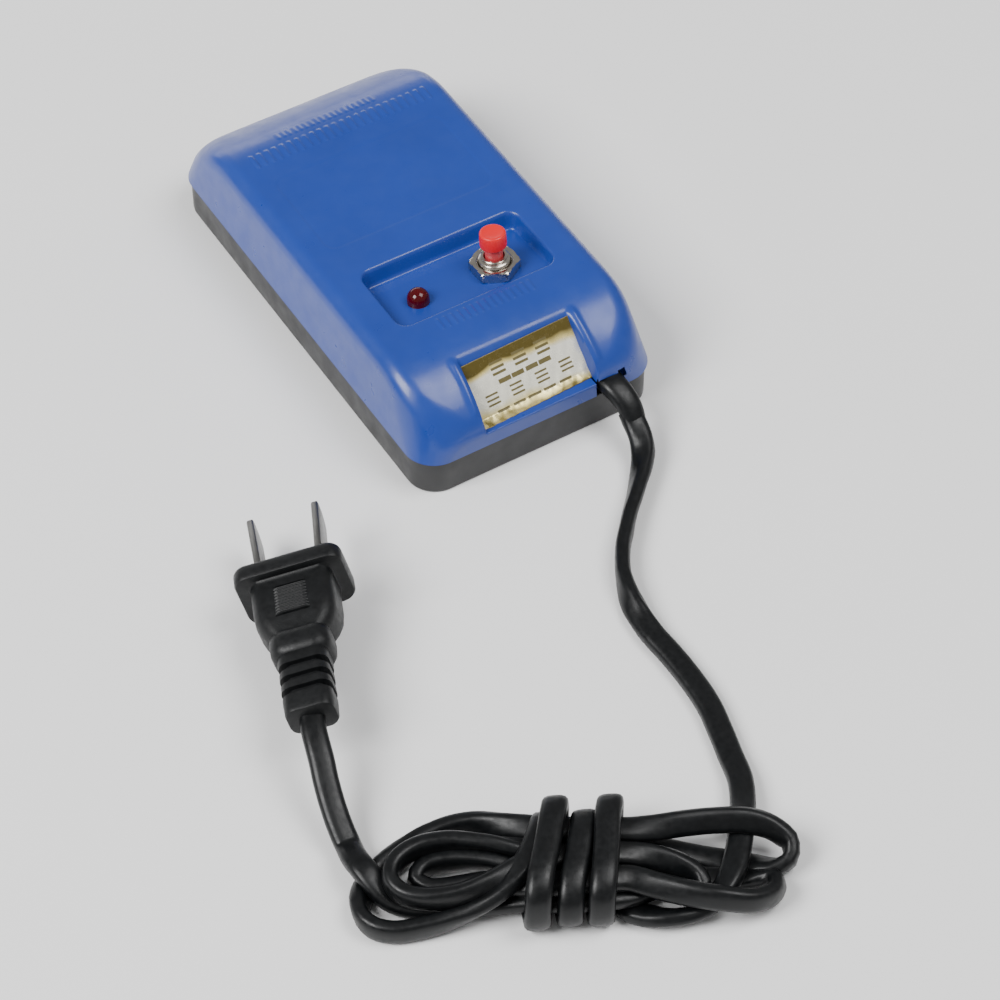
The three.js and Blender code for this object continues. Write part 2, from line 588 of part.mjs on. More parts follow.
function buttonCap() {
  const bottom = CAP_RISE;
  const top = bottom + CAP_HEIGHT;
  const edge = 0.5;
  const outside = toSolid(turned([
    [0, bottom], [CAP_RADIUS, bottom], [CAP_RADIUS, top - edge], [CAP_RADIUS - edge * 0.3, top - edge * 0.3],
    [CAP_RADIUS - edge, top], [0, top - edge * 0.5]], 32));
  return cut(outside, rod(STEM_RADIUS + GAP, bottom - CUT, bottom + CAP_SOCKET + GAP, 0, 0, 32));
}

function springGeometry() {
  const top = BRIDGE_BOTTOM - GAP - SPRING_WIRE_RADIUS;
  const bottom = SWITCH_BOTTOM + 1.4 * SWITCH_BODY_WALL + GAP + SPRING_WIRE_RADIUS;
  class Helix extends THREE.Curve {
    getPoint(t, target = new THREE.Vector3()) {
      const angle = 2 * Math.PI * SPRING_TURNS * t;
      return target.set(
        SPRING_RADIUS * Math.cos(angle), SPRING_RADIUS * Math.sin(angle), bottom + (top - bottom) * t);
    }
  }
  const section = ovalShape(2 * SPRING_WIRE_RADIUS, 2 * SPRING_WIRE_RADIUS, 5);
  return new THREE.ExtrudeGeometry(section, { steps: SPRING_TURNS * 14, extrudePath: new Helix() });
}

function ledLens() {
  const bottom = FLANGE_TOP - LED_FLANGE_HEIGHT;
  const profile = [
    [0, bottom], [LED_FLANGE_RADIUS, bottom], [LED_FLANGE_RADIUS, FLANGE_TOP],
    [LED_RADIUS, FLANGE_TOP], [LED_RADIUS, LED_RISE]];
  for (let i = 1; i < 6; i += 1) {
    const angle = i * 15 * DEG;
    profile.push([LED_RADIUS * Math.cos(angle), LED_RISE + LED_RADIUS * Math.sin(angle)]);
  }
  profile.push([0, LED_RISE + LED_RADIUS]);
  return turned(profile, 28);
}

const LED_LEG_TOP = FLANGE_TOP - LED_FLANGE_HEIGHT - GAP;
const LED_LEG_BOTTOM = LED_LEG_TOP - LED_LEG_LENGTH;

function ledLeg(side) {
  const points = [
    [side * LED_LEG_SPREAD, 0, LED_LEG_TOP],
    [side * LED_LEG_SPREAD, 0, LED_LEG_TOP - LED_LEG_LENGTH / 3],
    [side * LED_LEG_SPLAY, 0, LED_LEG_BOTTOM + LED_LEG_LENGTH / 3],
    [side * LED_LEG_SPLAY, 0, LED_LEG_BOTTOM],
  ];
  return tube(points, LED_LEG_SIZE, LED_LEG_SIZE, 8, 4);
}

// An axial component hanging below a lamp leg
function axialComponent(radius) {
  const top = LED_LEG_BOTTOM - GAP;
  const bodyTop = top - COMPONENT_LEAD;
  const bodyBottom = bodyTop - COMPONENT_LENGTH;
  const bottom = bodyBottom - COMPONENT_LEAD;
  const lead = COMPONENT_LEAD_RADIUS;
  return turned([
    [0, bottom], [lead, bottom], [lead, bodyBottom], [radius * 0.8, bodyBottom],
    [radius, bodyBottom + radius * 0.4], [radius, bodyTop - radius * 0.4], [radius * 0.8, bodyTop],
    [lead, bodyTop], [lead, top], [0, top]], 16);
}

const COMPONENT_BOTTOM = LED_LEG_BOTTOM - GAP - 2 * COMPONENT_LEAD - COMPONENT_LENGTH;
const TERMINAL_BOTTOM = SWITCH_BOTTOM - TERMINAL_LENGTH;

function addControls(part) {
  const well = new THREE.Group();
  well.position.set(0, WELL_CENTRE_Y, COVER_TOP - WELL_CENTRE_DEPTH);
  well.rotation.x = -WELL_TILT;
  part.add(well);

  const pushSwitch = new THREE.Group();
  pushSwitch.position.set(SWITCH_X, CONTROL_Y, 0);
  well.add(pushSwitch);
  pushSwitch.add(piece('switch_bushing', switchBushing(), NICKEL));
  pushSwitch.add(piece('switch_nut', switchNut(), NICKEL));
  pushSwitch.add(piece('switch_body', switchBody(), PHENOLIC));
  const stem = rod(STEM_RADIUS, STEM_BOTTOM, CAP_RISE + CAP_SOCKET, 0, 0, 28);
  pushSwitch.add(piece('button_stem', stem, RED_PLASTIC));
  pushSwitch.add(piece('button_cap', buttonCap(), RED_PLASTIC));
  const bridge = rod(BRIDGE_RADIUS, BRIDGE_BOTTOM, BRIDGE_BOTTOM + BRIDGE_THICKNESS, 0, 0, 24);
  pushSwitch.add(piece('contact_bridge', bridge, BRASS));
  pushSwitch.add(piece('switch_spring', springGeometry(), SPRING_STEEL));
  for (const [name, side] of [['left', -1], ['right', 1]]) {
    const height = CONTACT_TOP - TERMINAL_BOTTOM;
    const blade = block(
      TERMINAL_WIDTH, TERMINAL_THICKNESS, height, side * TERMINAL_SPREAD, 0, TERMINAL_BOTTOM);
    pushSwitch.add(piece(`switch_terminal_${name}`, blade, BRASS));
  }

  const lamp = new THREE.Group();
  lamp.position.set(LED_X, CONTROL_Y, 0);
  well.add(lamp);
  lamp.add(piece('led_lens', ledLens(), RED_LENS));
  lamp.add(piece('led_leg_left', ledLeg(-1), NICKEL));
  lamp.add(piece('led_leg_right', ledLeg(1), NICKEL));
  const resistor = piece('led_resistor', axialComponent(RESISTOR_RADIUS), RESISTOR_PAINT);
  resistor.position.x = -LED_LEG_SPLAY;
  lamp.add(resistor);
  const diode = piece('rectifier_diode', axialComponent(DIODE_RADIUS), BLACK_PLASTIC);
  diode.position.x = LED_LEG_SPLAY;
  lamp.add(diode);
}

// ---- magnet --------------------------------------------------------------------------------------

// A rectangular ring about the core bar, as a length along Y centred on the core
function coreRing(innerMargin, outerMargin, length, radius) {
  const shape = roundedRect(CORE_WIDTH + 2 * outerMargin, CORE_HEIGHT + 2 * outerMargin, radius);
  const ring = slab(shape, -length / 2, length / 2, 4);
  const boreRadius = Math.max(radius - outerMargin + innerMargin, 0.4);
  const bore = slab(
    roundedRect(CORE_WIDTH + 2 * innerMargin, CORE_HEIGHT + 2 * innerMargin, boreRadius), -length, length, 2);
  return cut(ring, bore).rotate([90, 0, 0]).translate([0, CORE_CENTRE_Y, CORE_MIDDLE]);
}

function coilBobbin() {
  const tubeMargin = GAP + BOBBIN_WALL;
  const flangeMargin = tubeMargin + BOBBIN_FLANGE;
  const flangeY = (BOBBIN_LENGTH - BOBBIN_FLANGE_WIDTH) / 2;
  const flange = coreRing(GAP, flangeMargin, BOBBIN_FLANGE_WIDTH, 2);
  return join(
    coreRing(GAP, tubeMargin, BOBBIN_LENGTH, 1),
    flange.translate([0, -flangeY, 0]),
    flange.translate([0, flangeY, 0]),
  );
}

function coreBar() {
  const holes = CORE_SCREW_PLACES.map(([, y]) =>
    rod(CORE_SCREW_RADIUS + GAP, CORE_BOTTOM - CUT, CORE_TOP + CUT, 0, y));
  return cut(block(CORE_WIDTH, CORE_LENGTH, CORE_HEIGHT, 0, CORE_CENTRE_Y, CORE_BOTTOM), ...holes);
}

const POLE_TOP = insideTop(CORE_CENTRE_Y + CORE_LENGTH / 2) - POLE_TOP_CLEARANCE;
const CORE_SCREW_SEAT = POLE_TOP - SCREW_HEAD_HEIGHT - GAP;

function polePiece(y) {
  const bottom = CORE_TOP + GAP;
  return cut(
    block(CORE_WIDTH, POLE_LENGTH, POLE_TOP - bottom, 0, y, bottom),
    rod(CORE_SCREW_RADIUS + GAP, bottom - CUT, POLE_TOP, 0, y),
    rod(CORE_SCREW_HEAD_RADIUS + GAP, CORE_SCREW_SEAT - GAP, POLE_TOP + CUT, 0, y),
  );
}

function addMagnet(part) {
  const windingInner = 2 * GAP + BOBBIN_WALL;
  const windingOuter = windingInner + WINDING_THICKNESS;
  const windingLength = BOBBIN_LENGTH - 2 * (BOBBIN_FLANGE_WIDTH + GAP);
  part.add(piece('core_bar', coreBar(), CORE_STEEL));
  part.add(piece('coil_bobbin', coilBobbin(), BOBBIN_NYLON));
  part.add(piece('coil_winding', coreRing(windingInner, windingOuter, windingLength, 2), COPPER));
  const tape = coreRing(windingOuter + GAP, windingOuter + GAP + TAPE_THICKNESS, windingLength, 2.5);
  part.add(piece('coil_tape', tape, TAPE_YELLOW));
  for (const [name, y] of CORE_SCREW_PLACES) {
    part.add(piece(`pole_piece_${name}`, polePiece(y), CORE_STEEL));
    const length = CORE_SCREW_SEAT - BASE_FLOOR - 2 * GAP;
    const shape = screw(CORE_SCREW_RADIUS, CORE_SCREW_HEAD_RADIUS, SCREW_HEAD_HEIGHT, length);
    const mesh = piece(`core_screw_${name}`, shape, NICKEL);
    mesh.position.set(0, y, CORE_SCREW_SEAT);
    part.add(mesh);
  }
}

// ---- cord entry and wiring -------------------------------------------------------------------------

function cordClamp() {
  const width = 2 * (CLAMP_SCREW_SPREAD + CLAMP_BOSS_RADIUS);
  const arch = RELIEF_WIDTH / 2 + GAP;
  const archTop = CORD_HEIGHT + RELIEF_THICKNESS / 2 + GAP;
  const shoulder = arch + CLAMP_THICKNESS;
  const foot = CLAMP_BOTTOM + CLAMP_FOOT_HEIGHT;
  const outline = [
    [-width / 2, CLAMP_BOTTOM], [-arch, CLAMP_BOTTOM], [-arch, archTop], [arch, archTop],
    [arch, CLAMP_BOTTOM], [width / 2, CLAMP_BOTTOM], [width / 2, foot], [shoulder, foot],
    [shoulder, archTop + CLAMP_THICKNESS], [-shoulder, archTop + CLAMP_THICKNESS], [-shoulder, foot],
    [-width / 2, foot]];
  const body = slab(polygon(outline), -CLAMP_LENGTH / 2, CLAMP_LENGTH / 2)
    .rotate([90, 0, 0]).translate([CORD_X, CLAMP_Y, 0]);
  const holes = [-1, 1].map((side) => rod(
    CLAMP_SCREW_RADIUS + GAP, CLAMP_BOTTOM - CUT, foot + CUT,
    CORD_X + side * CLAMP_SCREW_SPREAD, CLAMP_Y, 12));
  return cut(body, ...holes);
}

// Moulded sleeve on the lead, from behind the clamp out of the notch and bending down
function strainRelief() {
  const inner = FRONT + RELIEF_INNER_LENGTH;
  const points = [
    [CORD_X, inner, CORD_HEIGHT], [CORD_X, FRONT + RELIEF_INNER_LENGTH / 2, CORD_HEIGHT],
    [CORD_X, FRONT, CORD_HEIGHT], [CORD_X + 0.4, FRONT - 2.6, CORD_HEIGHT - 0.6],
    [CORD_X + 0.9, FRONT - 5.2, CORD_HEIGHT - 1.9], [CORD_X + 1, FRONT - 7.4, CORD_HEIGHT - 3.8]];
  return tube(points, RELIEF_THICKNESS, RELIEF_WIDTH, 18, 12);
}

function wire(points) {
  return tube(points, 2 * WIRE_RADIUS, 2 * WIRE_RADIUS, 5 * points.length, 6);
}

// From the end of a terminal or lead down to the tray floor, landing dx and dy away
function descent(end, dx, dy) {
  const [x, y, z] = end;
  const start = z - 2 * WIRE_RADIUS;
  const nearFloor = WIRE_HEIGHT + WIRE_LANDING * (start - WIRE_HEIGHT);
  return [
    end, [x, y, start], [x + dx * (1 - WIRE_LANDING), y + dy * (1 - WIRE_LANDING), nearFloor],
    [x + dx, y + dy, WIRE_HEIGHT]];
}

// A place in the well's frame as a point in the case's frame
const fromWell = (x, y, z) => new THREE.Vector3(x, y, z).applyMatrix4(wellMatrix()).toArray();

function addWiring(part) {
  const below = TERMINAL_BOTTOM - GAP;
  const terminalLeft = fromWell(SWITCH_X - TERMINAL_SPREAD, CONTROL_Y, below);
  const terminalRight = fromWell(SWITCH_X + TERMINAL_SPREAD, CONTROL_Y, below);
  const lampLeft = fromWell(LED_X - LED_LEG_SPLAY, CONTROL_Y, COMPONENT_BOTTOM - GAP);
  const lampRight = fromWell(LED_X + LED_LEG_SPLAY, CONTROL_Y, COMPONENT_BOTTOM - GAP);
  const cordEnd = FRONT + RELIEF_INNER_LENGTH + GAP;
  const coilFront = CORE_CENTRE_Y - BOBBIN_LENGTH / 2 - GAP;
  const coilSide = CORE_WIDTH / 2 + 2 * GAP + BOBBIN_WALL;
  const fall = 4;
  part.add(piece('wire_live', wire([
    [CORD_X - 2.3, cordEnd, CORD_HEIGHT], [CORD_X - 4.4, cordEnd + fall, CORD_HEIGHT - 2],
    [CORD_X - 5.6, cordEnd + 3 * fall, WIRE_HEIGHT], ...descent(terminalRight, 0, -fall).reverse(),
  ]), WIRE_RED));
  part.add(piece('wire_neutral', wire([
    [CORD_X - 0.4, cordEnd, CORD_HEIGHT], [CORD_X - 2, cordEnd + fall, CORD_HEIGHT - 2],
    [CORD_X - 2.6, cordEnd + 3 * fall, WIRE_HEIGHT], [CORD_X - 1, CONTROL_Y + WELL_CENTRE_Y, WIRE_HEIGHT],
    [coilSide + 2, coilFront - fall, WIRE_HEIGHT], [coilSide, coilFront, WIRE_HEIGHT + 1]]), WIRE_BLUE));
  part.add(piece('wire_coil', wire([
    ...descent(terminalLeft, -1, fall),
    [-coilSide + 4, coilFront - fall, WIRE_HEIGHT], [-coilSide + 2, coilFront, WIRE_HEIGHT + 1]]), WIRE_RED));
  part.add(piece('wire_lamp_live', wire([
    ...descent(lampLeft, 1, -fall), [LED_X + 6, lampLeft[1] - 2 * fall, WIRE_HEIGHT],
    [terminalLeft[0] - 4, terminalLeft[1] - fall, WIRE_HEIGHT]]), WIRE_RED));
  part.add(piece('wire_lamp_neutral', wire([
    ...descent(lampRight, 1, fall),
    [-coilSide - 1, coilFront - fall, WIRE_HEIGHT],
    [-coilSide - 0.5, coilFront, WIRE_HEIGHT + 1]]), WIRE_BLUE));
}

function addCordEntry(part) {
  part.add(piece('strain_relief', strainRelief(), CORD_PVC));
  part.add(piece('cord_clamp', cordClamp(), BLACK_PLASTIC));
  for (const [name, side] of [['left', -1], ['right', 1]]) {
    const seat = CLAMP_BOTTOM + CLAMP_FOOT_HEIGHT + GAP;
    const length = seat - BASE_FLOOR - 2 * GAP;
    const shape = screw(CLAMP_SCREW_RADIUS, CLAMP_SCREW_HEAD_RADIUS, SCREW_HEAD_HEIGHT, length);
    const mesh = piece(`clamp_screw_${name}`, shape, NICKEL);
    mesh.position.set(CORD_X + side * CLAMP_SCREW_SPREAD, CLAMP_Y, seat);
    part.add(mesh);
  }
}

// ---- lead, hank and plug ---------------------------------------------------------------------------

function hankGeometry() {
  const shape = roundedRect(HANK_LENGTH, HANK_WIDTH, HANK_WIDTH / 2 - 0.01);
  const geometry = prism(shape, 0, HANK_HEIGHT, 8);
  return geometry.rotateZ(HANK_TURN).translate(HANK_CENTRE[0], HANK_CENTRE[1], 0);
}

function addCord(part) {
  part.add(piece('cord_lead', tube(LEAD_POINTS, CORD_THICKNESS, CORD_WIDTH, 40, 8), CORD_PVC));
  part.add(piece('cord_hank', hankGeometry(), CORD_PVC));
  part.add(piece('cord_tail', tube(TAIL_POINTS, CORD_THICKNESS, CORD_WIDTH, 14, 8), CORD_PVC));
}

// A rounded bar along -Y in the plug's own frame
function plugBar(width, height, radius, start, length) {
  return slab(roundedRect(width, height, radius), 0, length, 5).rotate([90, 0, 0]).translate([0, -start, 0]);
}

function plugBody() {
  const collarStart = FLANGE_THICKNESS + GRIP_LENGTH;
  const neckStart = collarStart + COLLAR_LENGTH;
  const solid = join(
    plugBar(FLANGE_WIDTH, FLANGE_HEIGHT, 3, 0, FLANGE_THICKNESS),
    plugBar(GRIP_WIDTH, GRIP_HEIGHT, 3, FLANGE_THICKNESS - CUT, GRIP_LENGTH + CUT),
    plugBar(COLLAR_WIDTH, COLLAR_HEIGHT, 3, collarStart - CUT, COLLAR_LENGTH + CUT),
    plugBar(NECK_WIDTH, NECK_HEIGHT, 2.5, neckStart - CUT, NECK_LENGTH + CUT),
  );
  const pockets = [-1, 1].map((side) => block(
    BLADE_THICKNESS + 2 * GAP, 2 * (FLANGE_THICKNESS + GAP), BLADE_WIDTH + 2 * GAP,
    (side * BLADE_SPACING) / 2, 0, -BLADE_WIDTH / 2 - GAP));
  return cut(solid, ...pockets);
}

function plugBlade(side) {
  const half = BLADE_WIDTH / 2;
  const chamfer = BLADE_WIDTH * 0.3;
  const outline = polygon([
    [-FLANGE_THICKNESS, -half], [BLADE_LENGTH - chamfer, -half], [BLADE_LENGTH, -half + chamfer],
    [BLADE_LENGTH, half - chamfer], [BLADE_LENGTH - chamfer, half], [-FLANGE_THICKNESS, half]]);
  return alongX(outline, BLADE_THICKNESS).translate([(side * BLADE_SPACING) / 2, 0, 0]);
}

function addPlug(part) {
  const plug = new THREE.Group();
  plug.position.set(...PLUG_CENTRE);
  plug.rotation.set(PLUG_PITCH, -PLUG_ROLL, PLUG_HEADING, 'ZXY');
  part.add(plug);
  plug.add(piece('plug_body', plugBody(), BLACK_PLASTIC));
  plug.add(piece('plug_blade_left', plugBlade(-1), NICKEL));
  plug.add(piece('plug_blade_right', plugBlade(1), NICKEL));
}

const part = new THREE.Group();
addCase(part);
addControls(part);
addMagnet(part);
addCordEntry(part);
addWiring(part);
addCord(part);
addPlug(part);

export default part;
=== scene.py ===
"""Visual model of a watch demagnetizer on a plain pale floor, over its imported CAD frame.

Sizes are in millimetres in this file and become metres where a mesh is made. +Z is up, +Y points
to the back of the case, and the origin is at the centre of the case on the floor.
"""

import json
import math

import bpy
import numpy as np
from mathutils import Matrix, Vector


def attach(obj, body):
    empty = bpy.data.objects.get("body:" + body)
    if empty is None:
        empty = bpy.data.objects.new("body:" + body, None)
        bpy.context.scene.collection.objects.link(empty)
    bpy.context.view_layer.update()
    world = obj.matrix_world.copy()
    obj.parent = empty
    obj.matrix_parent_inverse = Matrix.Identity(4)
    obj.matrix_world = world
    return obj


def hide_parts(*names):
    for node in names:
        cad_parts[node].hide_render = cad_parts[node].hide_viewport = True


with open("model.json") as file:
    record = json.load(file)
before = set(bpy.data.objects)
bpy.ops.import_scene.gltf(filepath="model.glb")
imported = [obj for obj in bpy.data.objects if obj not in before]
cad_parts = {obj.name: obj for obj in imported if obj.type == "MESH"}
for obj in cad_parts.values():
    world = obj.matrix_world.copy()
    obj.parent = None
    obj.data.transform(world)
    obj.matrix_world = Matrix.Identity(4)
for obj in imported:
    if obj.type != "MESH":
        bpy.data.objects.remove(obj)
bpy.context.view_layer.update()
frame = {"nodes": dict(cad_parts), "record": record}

MM = 0.001

# Camera and light
CAMERA_PLACE = (-264.07, -469.84, 545.63)
CAMERA_TURN = (41.17, 0.0, -31.42)
CAMERA_LENS = 122.4
CAMERA_SENSOR = 36.0
LIGHT_TARGET = (-20.0, -50.0, 10.0)
# Name, place, size and power of each light
LIGHTS = (
    ("key", (-1000.0, -50.0, 1050.0), (700.0, 700.0), 24.0),
    ("back", (300.0, 1300.0, 200.0), (1200.0, 300.0), 2.5),
    ("top", (500.0, -500.0, 1300.0), (800.0, 800.0), 14.0),
)
WORLD_STRENGTH = 0.32
FLOOR_REACH = 3000.0

# Case, as in the CAD model
HALF_WIDTH = 30.0
HALF_LENGTH = 55.2
SEAM = 9.35
BASE_TOP = 9.05
COVER_TOP = 25.7
BAND_TOP = 15.0
CROWN_LENGTH = 21.4
BACK_ROUND = 23.5
# Handles of the profile's two curves: shares of the crown's length and height, then of the back's
# length, and the last one's place from the back face and height
CROWN_LOWER_HANDLE = (0.21, 0.54)
CROWN_UPPER_HANDLE = 0.53
BACK_UPPER_HANDLE = 0.44
BACK_LOWER_HANDLE = (1.1, 16.4)
LEAN = 1.8  # how far each side wall leans in from the seam to the top
EDGE_RADIUS = 3.5
FRONT_EDGE_RADIUS = 2.2
FRONT_EDGE_SPAN = (16.0, 5.0)  # half width of the tighter front edge, and how far it fades out
CORNER_RADIUS = 7.2
CORNER_GROWTH = 11.3  # how much rounder the corners are at the top than at the seam
COVER_LIP = 2.0
NOTCH = (13.6, 20.9)
NOTCH_TOP = 13.8
NOTCH_BACK = -50.0
SWITCH_HOLE = 3.9
LED_HOLE = 2.2

# Central grid of the cover, its cells' size, and where its lines start to spread to the outline
GRID_X = 22.4
GRID_Y = 43.5
GRID_STEP = 0.35
STRAIGHT_X = 16.0
STRAIGHT_Y = 32.0
FAN_RINGS = 20
FILLET_RINGS = 9
WALL_RINGS = 6

# Base tray
BASE_INSET = 0.6
# Inset from its side and height, from the underside up the outside and down the inside
BASE_LEVELS = (
    (0.8, 0.0), (0.3, 0.08), (0.08, 0.3), (0.0, 0.8), (0.0, BASE_TOP - 0.25), (0.25, BASE_TOP),
    (1.9, BASE_TOP), (1.9, BASE_TOP + 1.4), (3.0, BASE_TOP + 1.4), (3.0, 2.0),
)
SCREW_X = 21.0
SCREW_Y = (-37.0, 43.0)
SCREW_RECESS = (3.0, 1.9)  # radius and depth

# Features of the cover; angles in degrees, steepness as rise over run
WELL_CENTRE = -20.1
WELL_HALF = (21.0, 9.5)
WELL_RADIUS = 3.0
WELL_DEPTH = 3.3
WELL_TILT = 6.0
WELL_STEEPNESS = 3.0
WELL_RIM_BLEND = 1.1
WELL_FOOT_BLEND = 0.5
CONTROL_Y = -1.8
SWITCH_X = 8.3
LED_X = -11.0
SEAT_HALF_WIDTH = 14.3
SEAT_FOOT = (3.0, 13.2)
SEAT_SLOPE = 48.0
SEAT_LENGTH = 15.0
RIDGE_HEIGHT = 0.45
RIDGE_OFFSET = 1.5
RIDGE_WIDTH = 0.8
PANEL_HALF = (22.2, 12.6)
PANEL_CENTRE = 11.5
PANEL_RADIUS = 2.5
PANEL_GROOVE = (0.10, 0.35)  # depth and width
PANEL_DEPTH = 0.08
# Rows of plain moulded ribs: centre y, first x, last x, height, pitch, rib width, relief
RIB_ROWS = (
    (31.8, -24.0, 24.6, 4.4, 2.05, 0.85, 0.26),
    (37.4, -14.4, 13.0, 2.8, 1.52, 0.70, 0.14),
    (-32.8, -13.6, 12.2, 3.2, 1.72, 0.75, 0.22),
)
RIB_SOFTNESS = 0.3

# Label: size, turn in degrees, middle along the slope, lift of the sheet and of its lower edge
LABEL_SIZE = (28.0, 14.4)
LABEL_TURN = 1.8
LABEL_MIDDLE = 6.3
LABEL_LIFT = 0.30
LABEL_RIPPLE = 0.10
LABEL_CURL = 0.9
LABEL_CURL_SHARE = 0.14
LABEL_THICKNESS = 0.12
LABEL_CELLS = (120, 96)
# Rows of plain printed marks on the label: bottom, top, bars in a mark, and the middle of each mark
LABEL_MARKS = (
    (0.66, 0.86, 3, (0.30, 0.50, 0.70)),
    (0.51, 0.58, 1, (0.32, 0.44, 0.56, 0.68)),
    (0.26, 0.44, 3, (0.17, 0.39, 0.61, 0.83)),
    (0.12, 0.17, 1, (0.22, 0.36, 0.50, 0.64, 0.78)),
)
MARK_HALF_WIDTH = 0.055
# Colours across the foil, from its lower edge to its upper one
FOIL_BANDS = (
    (0.0, (0.13, 0.10, 0.02)), (0.22, (0.16, 0.12, 0.02)), (0.30, (0.85, 0.72, 0.30)),
    (0.42, (0.97, 0.95, 0.80)), (0.86, (0.98, 0.96, 0.84)), (0.93, (0.80, 0.66, 0.26)),
    (1.0, (0.12, 0.09, 0.02)),
)

# Controls, as radius and height above the well floor
NUT_FLATS = 5.0  # half the width across flats
NUT_PROFILE = (
    (3.65, 0.05), (5.2, 0.05), (5.75, 0.3), (5.75, 2.1), (5.45, 2.35), (5.0, 2.55), (4.3, 2.6),
    (4.1, 2.55), (3.65, 2.2),
)
BUSHING_FOOT = ((2.3, -3.5), (4.7, -3.5), (4.7, -2.3), (3.5, -2.3), (3.5, 0.0))
BUSHING_LIP = ((3.3, 3.25), (2.95, 3.35), (2.95, 3.8), (2.85, 3.9), (2.4, 3.9), (2.3, 3.8))
THREAD_RADII = (3.5, 3.28)  # crest and root
THREAD_START = 0.2
THREAD_STEP = 0.36
THREAD_STEPS = 9
STEM_PROFILE = ((1.0, -6.0), (2.0, -5.8), (2.0, 8.4), (1.9, 8.5), (0.4, 8.5))
CAP_PROFILE = (
    (2.25, 8.4), (2.25, 6.75), (2.7, 6.7), (2.95, 6.8), (3.0, 7.0), (2.98, 8.6), (2.93, 9.75),
    (2.85, 10.05), (2.65, 10.24), (2.35, 10.28), (2.1, 10.2), (1.2, 10.12), (0.3, 10.1),
)
LED_FOOT = ((0.6, -3.2), (2.85, -3.2), (2.9, -3.1), (2.9, -2.35), (2.5, -2.3), (2.5, 0.9))

# Cord: a flat twin lead, wider than it is thick
CORD_WIDTH = 5.2
CORD_THICKNESS = 3.3
CORD_STEP = 1.25
FLOOR_CLEARANCE = 0.02
RELIEF_HEIGHT = 11.6
RELIEF_STEP = 0.6
# Strain relief from behind the clamp to its end: x, y, drop, width, thickness
RELIEF_STATIONS = (
    (17.3, -42.2, 0.0, 6.2, 3.9), (17.3, -50.0, 0.0, 6.2, 3.9), (17.3, -55.2, 0.0, 6.2, 3.95),
    (17.4, -56.4, 0.1, 6.1, 3.95), (17.7, -58.0, 0.6, 5.9, 3.85), (18.1, -60.2, 1.8, 5.65, 3.7),
    (18.2, -61.8, 3.1, 5.45, 3.55), (18.1, -62.9, 4.2, 5.3, 3.42), (18.0, -63.4, 4.7, 5.22, 3.34),
)
# x, y, z, and how far the section stands on its edge from 0 to 1
LEAD_POINTS = (
    (18.0, -61.6, 8.3, 0.0), (17.9, -63.4, 6.9, 0.0), (17.5, -66.6, 5.4, 0.1), (16.2, -69.9, 4.0, 0.3),
    (13.7, -73.1, 3.2, 0.5), (10.7, -76.3, 2.8, 0.7), (7.7, -79.4, 2.7, 0.8), (4.6, -82.5, 2.7, 0.9),
    (1.8, -85.7, 2.7, 1.0), (-1.0, -88.8, 2.7, 1.0), (-3.4, -92.2, 2.7, 1.0), (-5.4, -95.7, 2.7, 1.0),
    (-7.0, -99.5, 2.6, 0.8), (-8.0, -103.4, 2.3, 0.5), (-8.4, -107.5, 2.0, 0.2), (-8.5, -111.9, 1.8, 0.0),
    (-8.2, -116.6, 1.7, 0.0), (-8.1, -121.3, 1.7, 0.0), (-8.2, -125.8, 1.7, 0.0), (-8.5, -130.1, 1.7, 0.0),
    (-9.1, -134.2, 1.7, 0.0), (-10.1, -138.1, 1.7, 0.0), (-11.1, -141.9, 1.7, 0.0), (-12.2, -145.6, 1.8, 0.0),
)
TAIL_POINTS = (
    (-88.7, -126.2, 3.6, 0.0), (-88.5, -124.0, 4.4, 0.0), (-88.1, -120.9, 5.8, 0.0),
    (-87.4, -117.4, 7.4, 0.0), (-86.5, -113.8, 9.2, 0.0), (-85.4, -110.3, 10.9, 0.0),
    (-84.6, -107.4, 11.9, 0.0), (-83.7, -104.4, 12.6, 0.0), (-82.3, -101.2, 13.0, 0.0),
)

# Hank, in its own frame: u along it, v across it to the back, height, and the edge value; its parts
# follow each other along the lead from the case to the plug
HANK_ORIGIN = (-54.6, -155.9)
HANK_TURN = -25.0
HANK_ENTRY = (
    (35.0, 20.9, 2.4, 0.0), (34.4, 13.9, 3.4, 0.0), (33.1, 8.0, 4.9, 0.0), (31.7, 2.6, 5.0, 0.0),
    (30.2, -1.5, 5.0, 0.1), (28.2, -5.2, 4.6, 0.3), (25.6, -8.0, 3.4, 0.5), (22.0, -9.8, 2.4, 0.6),
    (17.0, -10.3, 2.1, 0.5), (11.9, -8.9, 1.9, 0.2), (8.6, -6.4, 1.7, 0.0),
)
# Each wrap: u at its back, u at its front, u where it comes up next, v at its back and front, top height
WRAPS = (
    (7.9, 3.2, 2.6, 12.8, -10.2, 12.6),
    (2.6, -2.7, -2.6, 10.6, -9.6, 11.3),
    (-2.8, -9.0, -4.8, 13.2, -9.8, 13.2),
)
HANK_OUTER_LEFT = (
    (-5.0, 12.2, 5.6, 0.0), (-5.6, 10.6, 8.2, 0.0), (-7.2, 6.0, 9.5, 0.0), (-9.4, 1.6, 9.6, 0.1),
    (-12.4, -1.6, 8.8, 0.3), (-16.0, -4.2, 7.0, 0.5), (-20.6, -6.0, 5.0, 0.7), (-25.6, -7.0, 3.7, 0.9),
    (-30.9, -7.7, 3.0, 1.0), (-36.6, -7.9, 2.7, 1.0), (-40.6, -6.2, 2.7, 1.0), (-42.5, -2.6, 2.6, 0.9),
    (-41.4, 2.2, 2.1, 0.4), (-38.0, 6.8, 2.1, 0.3), (-32.6, 10.9, 2.6, 0.7), (-26.8, 14.0, 3.2, 1.0),
    (-20.3, 14.8, 4.0, 0.9), (-13.4, 12.6, 5.4, 0.5),
)
